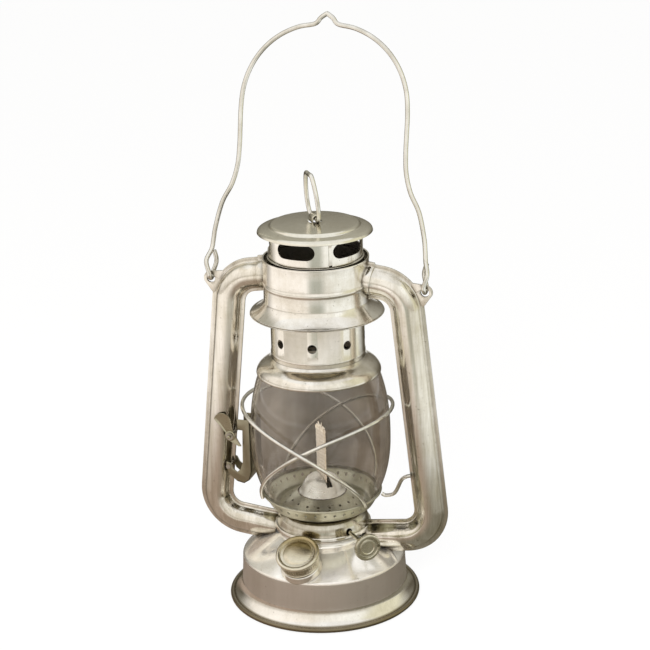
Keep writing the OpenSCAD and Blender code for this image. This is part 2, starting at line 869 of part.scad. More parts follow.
// Line of a guard wire: high on one side, dropping to the plate's rim on the other, in front and behind
function guard_line(side, top, reach, front_end, back_end) =
  [for (i = [-guard_steps / 2:guard_steps / 2])
    let (
      t = 2 * i / guard_steps,
      turn = t * (t < 0 ? front_end : back_end),
      out = reach + (guard_low_r - reach) * pow(t, guard_draw)
    )
    [side * out * cos(turn), out * sin(turn), top - (top - plate_rim_z) * pow(abs(t), guard_drop)]];

module outer_guard_wire() {
  color(tin)
    wire(guard_line(-1, guard_left_top, guard_reach, outer_front_end, outer_back_end), guard_d / 2);
}

module inner_guard_wire() {
  inner_reach = guard_reach - guard_d - guard_clear;
  color(tin)
    wire(guard_line(1, guard_right_top, inner_reach, inner_front_end, inner_back_end), guard_d / 2);
}

web_x = 42.6;
arm_d = guard_d;

module left_arm() {
  end = web_x - seat_gap;
  color(tin)
    wire(smooth_line([[-guard_low_r, 0, plate_rim_z - 0.4], [-guard_low_r - 1.2, 0, plate_rim_z + 4],
      [2.4 - end, 0, plate_rim_z + 8.8], [1.2 - end, 0, plate_rim_z + 10], [-end, 0, plate_rim_z + 10]], 4),
      arm_d / 2);
}

module right_arm() {
  hook_y = -flange_t - arm_d / 2 - free_gap;
  hook_x = tube_x(plate_rim_z + 15) - flange_half + 0.8;
  color(tin)
    wire(smooth_line([[guard_low_r, 0, plate_rim_z + 0.8], [guard_low_r + 2.6, 0, plate_rim_z - 0.2],
      [guard_low_r + 8, 0, plate_rim_z + 2], [hook_x - 6, hook_y / 2, plate_rim_z + 11.2],
      [hook_x - 2.6, hook_y, plate_rim_z + 14.2], [hook_x, hook_y, plate_rim_z + 15]], 4), arm_d / 2);
}

band_top = 109.6;
band_arm_x = 50.9;
band_arm_z = 102.8;
band_in_x = 47.6;
hook_z = 75.2;
// Back of the lift band, down to the round of its hook
web_line = [[-web_x, band_top], [-web_x, hook_z + 1], [-web_x - 1.6, hook_z - 4.6],
  [-web_x - 5.2, hook_z - 7], [-web_x - 9.6, hook_z - 6]];
// Hook about its pin, then the inner edge back up to the arm
hook_line = [[0.4, hook_z - 2 - band_pin_z], [-1.5, -0.5], [-1.2, 3], [1.4, 2], [3, hook_z + 2 - band_pin_z]];
inner_line = [[-web_x - 9.4, hook_z], [-web_x - 7.2, hook_z + 2], [-band_in_x - 0.6, hook_z + 7],
  [-band_in_x, band_arm_z], [-band_arm_x, band_arm_z]];
// Outline of a cheek of the lift band: an upper arm, an upright and a hook round the tube's flange
cheek_line = concat(
  [[-band_arm_x, band_top]],
  web_line,
  [for (p = hook_line) p + [-band_pin_x, band_pin_z]],
  inner_line
);

module lift_band() {
  color(brassy)
    rotate([90, 0, 0])
      difference() {
        union() {
          for (side = [-1, 1])
            translate([0, 0, side * (band_w - wall) / 2 - wall / 2])
              linear_extrude(wall)
                polygon(cheek_line);
          translate([0, 0, -band_w / 2])
            linear_extrude(band_w)
              polygon(sheet(web_line, -wall));
        }
        translate([-band_pin_x, band_pin_z, -far / 2])
          cylinder(r = band_pin_r + seat_gap, h = far);
      }
}

module band_pin() {
  head = 0.6;
  head_r = 1.6 * band_pin_r;
  color(steel)
    translate([-band_pin_x, 0, band_pin_z])
      rotate([90, 0, 0])
        union() {
          cylinder(r = band_pin_r, h = band_w + 2 * head, center = true);
          for (side = [0, 180])
            rotate([side, 0, 0])
              translate([0, 0, band_w / 2 + seat_gap])
                cylinder(r = head_r, h = head);
        }
}

globe_steps = 7;
globe_power = 2.4;
globe_line = concat(
  [for (i = [0:globe_steps]) let (t = 1 - i / globe_steps)
    [globe_r - (globe_r - globe_low_r) * pow(t, globe_power), globe_mid - (globe_mid - globe_low) * t]],
  [for (i = [1:globe_steps]) let (t = i / globe_steps)
    [globe_r - (globe_r - globe_top_r) * pow(t, globe_power), globe_mid + (globe_top - globe_mid) * t]]
);

module globe() {
  color(glass)
    turned(sheet(globe_line, glass_t));
}

// Thumb lever that lifts the carrier, on a rivet through the left tube's inner flange
lever_t = 0.8;
lever_hub = 3.2;
// Outline of the lever about its rivet: leaf-shaped thumb pad above, pointed nose below
pad_line = concat(
  arc([-4.6, 8.6], 5.6, 165, 20, 6),
  [[2.2, 2.4], [7, -6.1], [5.3, -6.3], [-1.2, -2.9], [-2.6, 1.4], [-6, 6]]
);

module lift_lever() {
  hub_rise = 0.2;
  color(brassy)
    translate([-lever_x, -lever_y, lever_z])
      rotate([90, 0, 0])
        difference() {
          union() {
            linear_extrude(lever_t)
              polygon(pad_line);
            cylinder(r = lever_hub, h = lever_t + hub_rise);
          }
          translate([0, 0, -lever_t])
            cylinder(r = rivet_r + pin_play, h = 4 * lever_t);
        }
}

module lever_rivet() {
  head_r = 2.2;
  spacer_r = rivet_r + free_gap;
  head_t = 0.7;
  front = lever_y + lever_t + free_gap;
  color(steel)
    translate([-lever_x, 0, lever_z])
      rotate([90, 0, 0])
        union() {
          translate([0, 0, -flange_t - head_t])
            cylinder(r = rivet_r, h = front + flange_t + 2 * head_t);
          translate([0, 0, -flange_t - seat_gap - head_t])
            cylinder(r = spacer_r, h = head_t);
          translate([0, 0, flange_t + seat_gap])
            cylinder(r = spacer_r, h = lever_y - flange_t - free_gap);
          translate([0, 0, front])
            cylinder(r = head_r, h = head_t);
        }
}

// Chimney: crown, tube, collar, cap and lifting loop
crown_lip = 1.8;
crown_line = [[crown_r - 0.2, crown_z - 1], [crown_r, crown_z], [crown_r - 0.5, crown_z + 1.8],
  [crown_r - 2.1, crown_z + 4], [crown_r - 4.9, crown_z + 6],
  [chimney_r + crown_lip, crown_top - crown_lip], [chimney_r + seat_gap, crown_top]];

module crown() {
  color(tin)
    difference() {
      turned(sheet(crown_line));
      cylinder(r = chimney_r + seat_gap, h = far);
    }
}

vents = 8;
vent_first = -79.4;
vent_z = crown_top + vent_rise;
slot_first = -98;
slot_span = 50;
slot_z = top_cap_z - slot_drop;
chimney_low = crown_top - 3;
chimney_high = top_cap_z + 0.45 * top_cap_rise;

module chimney_tube() {
  slot_half_w = chimney_r * sin(slot_span / 2) - slot_h / 2;
  slot_steps = 6;
  slot_in = chimney_r * cos(slot_span / 2) - 2 * wall;
  color(tin)
    difference() {
      turned([[chimney_r - wall, chimney_low], [chimney_r, chimney_low], [chimney_r, chimney_high],
        [chimney_r - wall, chimney_high]]);
      ring_of(vents, vent_first)
        translate([chimney_r - 4 * wall, 0, vent_z])
          rotate([0, 90, 0])
            cylinder(r = vent_r, h = 8 * wall);
      ring_of(slots, slot_first)
        translate([slot_in, 0, slot_z])
          rotate([90, 0, 90])
            linear_extrude(chimney_r - slot_in + 2 * wall)
              polygon(concat(arc([slot_half_w, 0], slot_h / 2, -90, 90, slot_steps),
                arc([-slot_half_w, 0], slot_h / 2, 90, 270, slot_steps)));
    }
}

module spring_collar() {
  collar_r = spring_r + spring_d / 2;
  color(brassy)
    turned([[chimney_r + seat_gap, collar_z], [collar_r, collar_z], [collar_r, collar_z + collar_t],
      [chimney_r + seat_gap, collar_z + collar_t]]);
}

top_cap_peak = top_cap_z + top_cap_rise;
// Cap's dome: the share of its radius and the share of its rise
cap_dome = [[1, 0], [0.98, 0.26], [0.905, 0.54], [0.77, 0.74], [0.52, 0.9], [0.26, 0.98], [0, 1]];
cap_line = [for (p = cap_dome) [top_cap_r * p.x, top_cap_z + top_cap_rise * p.y]];
loop_z = top_cap_peak + loop_d / 2 + free_gap;
tab_len = 7;
tab_in = loop_d / 2 + free_gap;

module chimney_cap() {
  color(tin)
    union() {
      turned(sheet(cap_line));
      rotate([0, 0, loop_bearing])
        translate([-tab_len / 2, 0, loop_z])
          rotate([90, 0, 90])
            linear_extrude(tab_len)
              difference() {
                union() {
                  circle(r = tab_in + wall);
                  translate([-tab_in - wall, top_cap_peak - wall / 2 - loop_z])
                    square([2 * tab_in + 2 * wall, loop_z - top_cap_peak + wall / 2]);
                }
                circle(r = tab_in);
                translate([-tab_in, -far])
                  square([2 * tab_in, far]);
              }
    }
}

// Closed wire loop whose straight foot turns under the cap's tab
loop_foot = 0.62 * loop_half;
loop_butt = 0.3;
loop_points = [[loop_butt, 0], [loop_foot / 2, 0], [loop_foot, 0], [loop_half * 0.92, loop_h * 0.11],
  [loop_half, loop_h * 0.36], [loop_half * 0.84, loop_h * 0.66], [loop_half * 0.5, loop_h * 0.9],
  [0, loop_h - loop_d]];
loop_half_line = smooth_line([for (p = loop_points) [p.x, 0, p.y]], 4);
loop_line = concat(
  loop_half_line,
  [for (i = [len(loop_half_line) - 2:-1:0]) [-loop_half_line[i].x, 0, loop_half_line[i].z]]
);

module lifting_loop() {
  color(tin)
    rotate([0, 0, loop_bearing])
      translate([0, 0, loop_z])
        rotate([loop_lean, 0, 0])
          wire(loop_line, loop_d / 2);
}

// Bail: an arch of wire with an eye through each ear; its hinge line runs through the metal above the holes
bail_z = ear_z + (ear_hole_r + ear_r) / 2;
eye_r = bail_z - ear_z - 0.1;
eye_skew = 1.8;
// Right half of the wire, upright, about the hinge line: from the cut end round the eye and up to the arch
bail_eye = concat(
  [[ear_x - 0.3, 2.9, 13], [ear_x - eye_skew, eye_r + 0.4, 7]],
  [for (a = [0:-45:-180]) [ear_x, eye_r * cos(a), eye_r * sin(a)]],
  [[ear_x + eye_skew, -eye_r - 0.4, 7], [ear_x - 0.2, -0.6, 14], [ear_x - 0.9, 0, 20]]
);
bail_kink = [[63.2, 28], [59.6, 42], [54, 53], [51, 64], [bail_half, 75], [bail_half, 86]];
bail_full = 0.94;
bail_arch = [for (a = [0:12:72])
  [bail_half * pow(cos(a), bail_full), bail_side + bail_half * pow(sin(a), bail_full)]];
arch_top = bail_side + bail_half;
bail_crest = [[7, arch_top - 0.4], [3.6, arch_top + bail_peak * 0.55], [0, arch_top + bail_peak]];
bail_upper = [for (p = concat(bail_kink, bail_arch, bail_crest)) [p.x, 0, p.y]];
bail_half_line = smooth_line(concat(bail_eye, bail_upper), 3);
bail_line = concat(
  bail_half_line,
  [for (i = [len(bail_half_line) - 2:-1:0]) let (p = bail_half_line[i]) [-p.x, p.y, p.z]]
);

module bail() {
  color(tin)
    translate([0, 0, bail_z])
      rotate([-bail_lean, 0, 0])
        wire(bail_line, bail_d / 2);
}

echo(spring_gap = spring_gap);

foot_skirt();
tank_shell();
tank_floor();
filler_neck();
left_tube_front();
left_tube_back();
right_tube_front();
right_tube_back();
hood();
guide_ring();
chimney_spring();
burner_base();
burner_bell();
burner_dome();
wick_tube();
spindle_brackets();
lever_rivet();
globe_plate();
outer_guard_wire();
inner_guard_wire();
left_arm();
right_arm();
lift_band();
band_pin();
globe();
lift_lever();
crown();
chimney_tube();
spring_collar();
chimney_cap();
lifting_loop();
bail();
wick_knob();
wick_spindle();
feed_wheels();
wick();
wick_tail();
filler_gasket();
filler_cap();
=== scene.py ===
"""Hurricane lantern: sheet metal, wire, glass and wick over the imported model, with studio and camera.

Sizes in the classes are in millimetres and angles in degrees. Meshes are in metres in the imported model's
frame, with +Z up, the side tubes along X and the front towards -Y.
"""

import json
import logging
import math
from contextlib import contextmanager
from dataclasses import dataclass, field
from enum import Enum
from itertools import pairwise
from typing import Any, Callable, Iterator, Sequence

import bpy
from mathutils import Matrix, Vector

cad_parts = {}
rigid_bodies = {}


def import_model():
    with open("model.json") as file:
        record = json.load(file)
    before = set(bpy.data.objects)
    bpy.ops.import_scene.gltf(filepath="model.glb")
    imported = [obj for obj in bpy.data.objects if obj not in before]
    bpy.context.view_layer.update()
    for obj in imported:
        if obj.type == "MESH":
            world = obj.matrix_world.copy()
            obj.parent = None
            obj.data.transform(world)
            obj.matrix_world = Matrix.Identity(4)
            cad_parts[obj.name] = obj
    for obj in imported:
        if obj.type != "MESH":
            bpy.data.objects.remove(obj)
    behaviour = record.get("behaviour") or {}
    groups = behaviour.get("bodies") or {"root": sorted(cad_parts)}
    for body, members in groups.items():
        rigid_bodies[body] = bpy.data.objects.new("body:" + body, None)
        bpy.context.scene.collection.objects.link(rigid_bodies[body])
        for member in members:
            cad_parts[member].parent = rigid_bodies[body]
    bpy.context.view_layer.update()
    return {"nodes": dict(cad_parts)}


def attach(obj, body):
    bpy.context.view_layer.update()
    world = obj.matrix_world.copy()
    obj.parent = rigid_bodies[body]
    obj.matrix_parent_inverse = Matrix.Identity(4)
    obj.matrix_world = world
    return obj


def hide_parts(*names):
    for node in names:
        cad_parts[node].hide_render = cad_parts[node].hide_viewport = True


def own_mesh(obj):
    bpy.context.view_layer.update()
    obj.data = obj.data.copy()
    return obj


LOG = logging.getLogger("lantern")
MM = 0.001
SAME_POINT = 1e-6
SHARP = 40.0

Colour = tuple[float, float, float]
Flat = tuple[float, float]
Place = tuple[float, float, float]
Piece = bpy.types.Object
Socket = bpy.types.NodeSocket


class Body(Enum):
    """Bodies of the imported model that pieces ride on."""

    FRAME = "frame"
    CARRIER = "globe_carrier"
    LEVER = "lever"
    CHIMNEY = "chimney"
    LOOP = "loop"
    BAIL = "bail"
    KNOB = "knob"
    WICK = "wick"
    CAP = "cap"


class Slot(Enum):
    """Material slots of the record."""

    TIN = "tinplate"
    FITTINGS = "fittings"
    STEEL = "steel"
    GLASS = "glass"
    COTTON = "cotton"


class Side(Enum):
    """Sides of the lantern, as the sign of X."""

    LEFT = -1
    RIGHT = 1


class Facing(Enum):
    """Halves of a side tube, as the sign of Y."""

    FRONT = -1
    BACK = 1


def shifted(x: float, y: float, z: float) -> Matrix:
    """Place moved by millimetres."""
    return Matrix.Translation((x * MM, y * MM, z * MM))


def rotated(degrees: float, axis: str) -> Matrix:
    """Place turned about an axis."""
    return Matrix.Rotation(math.radians(degrees), 4, axis)


class Line:
    """Lines of points that the sub-assemblies draw with."""

    @staticmethod
    def arc(centre: Flat, radius: float, start: float, end: float, steps: int) -> list[Flat]:
        """Points of an arc, from one bearing to another, both ends included."""
        turns = [math.radians(start + (end - start) * i / steps) for i in range(steps + 1)]
        return [(centre[0] + radius * math.cos(a), centre[1] + radius * math.sin(a)) for a in turns]

    @staticmethod
    def smooth(points: Sequence[Sequence[float]], steps: int) -> list[tuple[float, ...]]:
        """Smooth line through points.

        Args:
            points: the points it goes through, in two or three dimensions.
            steps: number of steps between two of them.

        Returns:
            The points of the smooth line.
        """
        knots = [Vector(p) for p in points]
        last = len(knots) - 1
        line: list[tuple[float, ...]] = []
        for i in range(last):
            a, b = knots[max(i - 1, 0)], knots[i]
            c, d = knots[i + 1], knots[min(i + 2, last)]
            bend = 2 * a - 5 * b + 4 * c - d
            swing = 3 * b - a - 3 * c + d
            for t in (k / steps for k in range(steps)):
                line.append(tuple((2 * b + (c - a) * t + bend * t**2 + swing * t**3) / 2))
        line.append(tuple(knots[last]))
        return line

    @staticmethod
    def mirrored(points: Sequence[Place]) -> list[Place]:
        """The line followed by its mirror image across X, back to the other end."""
        return [*points, *[(-x, y, z) for x, y, z in reversed(points[:-1])]]


class Bench:
    """Modelling steps that the sub-assemblies share."""

    @staticmethod
    def clear() -> None:
        """Leave edit mode and deselect everything."""
        if bpy.context.mode != "OBJECT":
            bpy.ops.object.mode_set(mode="OBJECT")
        bpy.ops.object.select_all(action="DESELECT")

    @staticmethod
    def pick(piece: Piece) -> None:
        """Make one piece the only selected and the active one.

        Args:
            piece: the piece.
        """
        Bench.clear()
        piece.select_set(True)
        bpy.context.view_layer.objects.active = piece

    @staticmethod
    def named(name: str) -> Piece:
        """Name the piece that was just added or joined."""
        bpy.context.object.name = name
        return bpy.context.object

    @staticmethod
    @contextmanager
    def editing(piece: Piece) -> Iterator[None]:
        """Open a piece in edit mode with all of it selected, and close it afterwards.

        Args:
            piece: the piece to edit.

        Returns:
            The context in which the piece is open.
        """
        Bench.pick(piece)
        bpy.ops.object.mode_set(mode="EDIT")
        bpy.ops.mesh.select_mode(type="VERT")
        bpy.ops.mesh.select_all(action="SELECT")
        yield
        bpy.ops.object.mode_set(mode="OBJECT")

    @staticmethod
    def reselect(piece: Piece, chosen: Callable[[bpy.types.MeshVertex], bool]) -> None:
        """Select vertices by a test while a piece is in edit mode.

        Args:
            piece: the piece in edit mode.
            chosen: says of a vertex whether it is selected.
        """
        bpy.ops.mesh.select_all(action="DESELECT")
        bpy.ops.object.mode_set(mode="OBJECT")
        for vertex in piece.data.vertices:
            vertex.select = chosen(vertex)
        bpy.ops.object.mode_set(mode="EDIT")

    @staticmethod
    def mend(fill: bool = False) -> None:
        """Merge double points and point all faces outwards, in edit mode.

        Args:
            fill: whether open ends are closed in between.
        """
        bpy.ops.mesh.select_all(action="SELECT")
        bpy.ops.mesh.remove_doubles(threshold=SAME_POINT)
        bpy.ops.mesh.select_all(action="SELECT")
        if fill:
            bpy.ops.mesh.fill_holes(sides=0)
            bpy.ops.mesh.select_all(action="SELECT")
        bpy.ops.mesh.normals_make_consistent(inside=False)

    @staticmethod
    def draw(step: Sequence[float]) -> None:
        """Extrude the selected edges by a step in metres, in edit mode."""
        bpy.ops.mesh.extrude_edges_move(TRANSFORM_OT_translate={"value": step})

    @staticmethod
    def place(piece: Piece, matrix: Matrix) -> Piece:
        """Move a piece and put its place into its mesh.

        Args:
            piece: the piece to move.
            matrix: its new place.

        Returns:
            The same piece.
        """
        piece.matrix_world = matrix
        Bench.pick(piece)
        bpy.ops.object.transform_apply(location=True, rotation=True, scale=True)
        return piece

    @staticmethod
    def loop(name: str, points: Sequence[Place], fill: str = "NOTHING") -> Piece:
        """Closed loop of edges through points.

        Args:
            name: the piece's name.
            points: the loop's points in millimetres.
            fill: how the loop is filled.

        Returns:
            The new piece.
        """
        Bench.clear()
        bpy.ops.mesh.primitive_circle_add(vertices=len(points), radius=MM, fill_type=fill)
        piece = Bench.named(name)
        for vertex, point in zip(piece.data.vertices, points):
            vertex.co = Vector(point) * MM
        return piece

    @staticmethod
    def plate(name: str, points: Sequence[Place], thick: Place) -> Piece:
        """Flat plate cut to an outline and given a thickness.

        Args:
            name: the piece's name.
            points: the outline in millimetres.
            thick: the way and distance that it is thickened.

        Returns:
            The new piece.
        """
        piece = Bench.loop(name, points, "NGON")
        with Bench.editing(piece):
            bpy.ops.mesh.extrude_region_move(TRANSFORM_OT_translate={"value": Vector(thick) * MM})
            Bench.mend()
        return piece

    @staticmethod
    def turn(name: str, line: Sequence[Flat], wall: float = 0.0, steps: int = 96) -> Piece:
        """Turn a line about the lantern axis.

        Args:
            name: the piece's name.
            line: points of radius and height, with the outer face on the right of the way along it. A line
                whose ends meet, or that starts and ends on the axis, gives a closed solid.
            wall: thickness that an open shell gets behind its outer face.
            steps: number of steps round the axis.

        Returns:
            The new piece.
        """
        axis_start = line[0][0] == 0
        path = list(line[1:]) if axis_start else list(line)
        first_r, first_z = path[0]
        Bench.clear()
        bpy.ops.mesh.primitive_circle_add(vertices=steps, radius=first_r * MM)
        piece = Bench.place(Bench.named(name), shifted(0, 0, first_z))
        with Bench.editing(piece):
            for (r_here, z_here), (r_next, z_next) in pairwise(path):
                Bench.raise_ring(r_here, r_next, z_next - z_here)
            if axis_start:
                Bench.reselect(piece, lambda vertex: vertex.index < steps)
                Bench.raise_ring(first_r, 0, line[0][1] - first_z)
            Bench.mend()
        Bench.face_right(piece, path[0], path[1])
        if wall:
            Bench.modify(piece, "SOLIDIFY", thickness=wall * MM, offset=-1, use_even_offset=True)
        return piece

    @staticmethod
    def raise_ring(r_here: float, r_next: float, rise: float) -> None:
        """Extrude the selected ring of edges to the next one.

        Args:
            r_here: radius of the selected ring.
            r_next: radius of the next ring, or 0 where it closes on the axis.
            rise: how much higher the next ring is.
        """
        Bench.draw((0, 0, rise * MM))
        if r_next <= 0:
            bpy.ops.mesh.merge(type="CENTER")
        else:
            Bench.widen(r_next / r_here)

    @staticmethod
    def widen(share: float) -> None:
        """Scale the selection out from the lantern axis, in edit mode."""
        bpy.ops.transform.resize(value=(share, share, 1), center_override=(0, 0, 0))

    @staticmethod
    def face_right(piece: Piece, here: Flat, there: Flat) -> None:
        """Flip a turned shell if its first step doesn't face the right of its line.

        Args:
            piece: the turned shell.
            here: the line's first point.
            there: its second point.
        """
        rise, reach = there[1] - here[1], there[0] - here[0]
        middle = (Vector(here) + Vector(there)) / 2 * MM

        def gap(face: bpy.types.MeshPolygon) -> float:
            """How far a face is from the middle of the line's first step."""
            return (Vector((Vector(face.center[:2]).length, face.center[2])) - middle).length

        near = min(piece.data.polygons, key=gap)
        out = Vector(near.center[:2]).normalized()
        if near.normal.dot(Vector((rise * out.x, rise * out.y, -reach))) < 0:
            with Bench.editing(piece):
                bpy.ops.mesh.flip_normals()

    @staticmethod
    def knurl(piece: Piece, steps: int, pitch: int, share: float, inner: float, heights: Flat) -> None:
        """Press even ribs into the edge of a turned piece that is still on the lantern axis.

        Args:
            piece: the turned piece.
            steps: its number of steps round the axis.
            pitch: number of steps from one rib to the next.
            share: what a rib's radius is multiplied by.
            inner: radius outside which the edge lies.
            heights: heights between which the edge lies.
        """
        low, high = heights

        def on_edge(x: float, y: float, z: float) -> bool:
            """Whether a place in millimetres is on the edge."""
            return math.hypot(x, y) > inner and low < z < high

        def on_rib(x: float, y: float, _: float) -> bool:
            """Whether a place is in the first half of a pitch."""
            return round(math.atan2(y, x) / math.tau * steps) % pitch < pitch / 2

        with Bench.editing(piece):
            Bench.reselect(piece, lambda vertex: on_edge(*vertex.co / MM) and on_rib(*vertex.co / MM))
            Bench.widen(share)

    @staticmethod
    def wire(name: str, points: Sequence[Place], radius: float) -> Piece:
        """Round wire bent along points.

        Args:
            name: the piece's name.
            points: its middle line in millimetres.
            radius: half its thickness.

        Returns:
            The new piece, as a mesh.
        """
        Bench.clear()
        bpy.ops.curve.primitive_bezier_curve_add()
        piece = Bench.named(name)
        drawn = piece.data
        drawn.splines.clear()
        spline = drawn.splines.new("POLY")
        spline.points.add(len(points) - 1)
        for knot, point in zip(spline.points, points):
            knot.co = (*(Vector(point) * MM), 1)
        drawn.dimensions = "3D"
        drawn.bevel_depth = radius * MM
        drawn.bevel_resolution = 4
        drawn.use_fill_caps = True
        Bench.pick(piece)
        bpy.ops.object.convert(target="MESH")
        piece = bpy.context.object
        with Bench.editing(piece):
            Bench.mend()
        return piece

    @staticmethod
    def rod(name: str, radius: float, length: float, matrix: Matrix, sides: int = 32) -> Piece:
        """Round rod along its own Z, used as a cutter or a start.

        Args:
            name: the piece's name.
            radius: its radius.
            length: its length, centred on its origin.
            matrix: its place in metres.
            sides: number of its sides.

        Returns:
            The new piece.
        """
        Bench.clear()
        bpy.ops.mesh.primitive_cylinder_add(vertices=sides, radius=radius * MM, depth=length * MM)
        return Bench.place(Bench.named(name), matrix)

    @staticmethod
    def box(name: str, size: Place, matrix: Matrix) -> Piece:
        """Box of a size, centred on its own origin, used as a cutter or a start.

        Args:
            name: the piece's name.
            size: its three sides.
            matrix: its place in metres.

        Returns:
            The new piece.
        """
        Bench.clear()
        bpy.ops.mesh.primitive_cube_add(size=1)
        return Bench.place(Bench.named(name), matrix @ Matrix.Diagonal((*[side * MM for side in size], 1)))

    @staticmethod
    def round_copies(piece: Piece, count: int) -> Piece:
        """Repeat a piece's mesh evenly round the lantern axis.

        Args:
            piece: the piece to repeat.
            count: how many there are in the end.

        Returns:
            The same piece.
        """
        more = count - 1
        with Bench.editing(piece):
            bpy.ops.mesh.spin(
                steps=more, dupli=True, angle=math.tau * more / count, center=(0, 0, 0), axis=(0, 0, 1)
            )
        return piece

    @staticmethod
    def modify(piece: Piece, kind: str, **settings: Any) -> None:
        """Give a piece a modifier and apply it.

        Args:
            piece: the piece.
            kind: the modifier's type.
            settings: attributes of the modifier.
        """
        modifier = piece.modifiers.new(kind, kind)
        for key, value in settings.items():
            setattr(modifier, key, value)
        Bench.pick(piece)
        bpy.ops.object.modifier_apply(modifier=modifier.name)

    @staticmethod
    def cut(piece: Piece, tool: Piece) -> Piece:
        """Cut a tool's shape out of a piece and put the tool away.

        Args:
            piece: the piece that is cut.
            tool: the cutter.

        Returns:
            The same piece.
        """
        Bench.modify(piece, "BOOLEAN", operation="DIFFERENCE", solver="EXACT", object=tool)
        bpy.data.objects.remove(tool)
        return piece

    @staticmethod
    def soften(piece: Piece, width: float = 0, angle: float = SHARP, rounds: int = 2) -> Piece:
        """Round a piece's sharp edges and shade it smooth between those that are left.

        Args:
            piece: the piece.
            width: width of the rounds, or 0 for none.
            angle: edges sharper than this are rounded, or else kept sharp.
            rounds: segments of a round.

        Returns:
            The same piece.
        """
        limit = math.radians(angle)
        if width:
            how = {"width": width * MM, "segments": rounds, "limit_method": "ANGLE", "angle_limit": limit}
            Bench.modify(piece, "BEVEL", **how)
        Bench.pick(piece)
        bpy.ops.object.shade_smooth_by_angle(angle=limit)
        return piece

    @staticmethod
    def copy(piece: Piece, name: str, matrix: Matrix) -> Piece:
        """Copy a piece with its own mesh to another place.

        Args:
            piece: the piece to copy.
            name: the copy's name.
            matrix: the copy's place, which may mirror it.

        Returns:
            The copy.
        """
        Bench.pick(piece)
        bpy.ops.object.duplicate(linked=False)
        twin = Bench.place(Bench.named(name), matrix)
        with Bench.editing(twin):
            bpy.ops.mesh.normals_make_consistent(inside=False)
        return twin

    @staticmethod
    def join(name: str, pieces: Sequence[Piece]) -> Piece:
        """Make one piece of several.

        Args:
            name: the name of the joined piece.
            pieces: the pieces, which keep their places.

        Returns:
            The joined piece.
        """
        Bench.pick(pieces[0])
        for piece in pieces[1:]:
            piece.select_set(True)
        bpy.ops.object.join()
        return Bench.named(name)


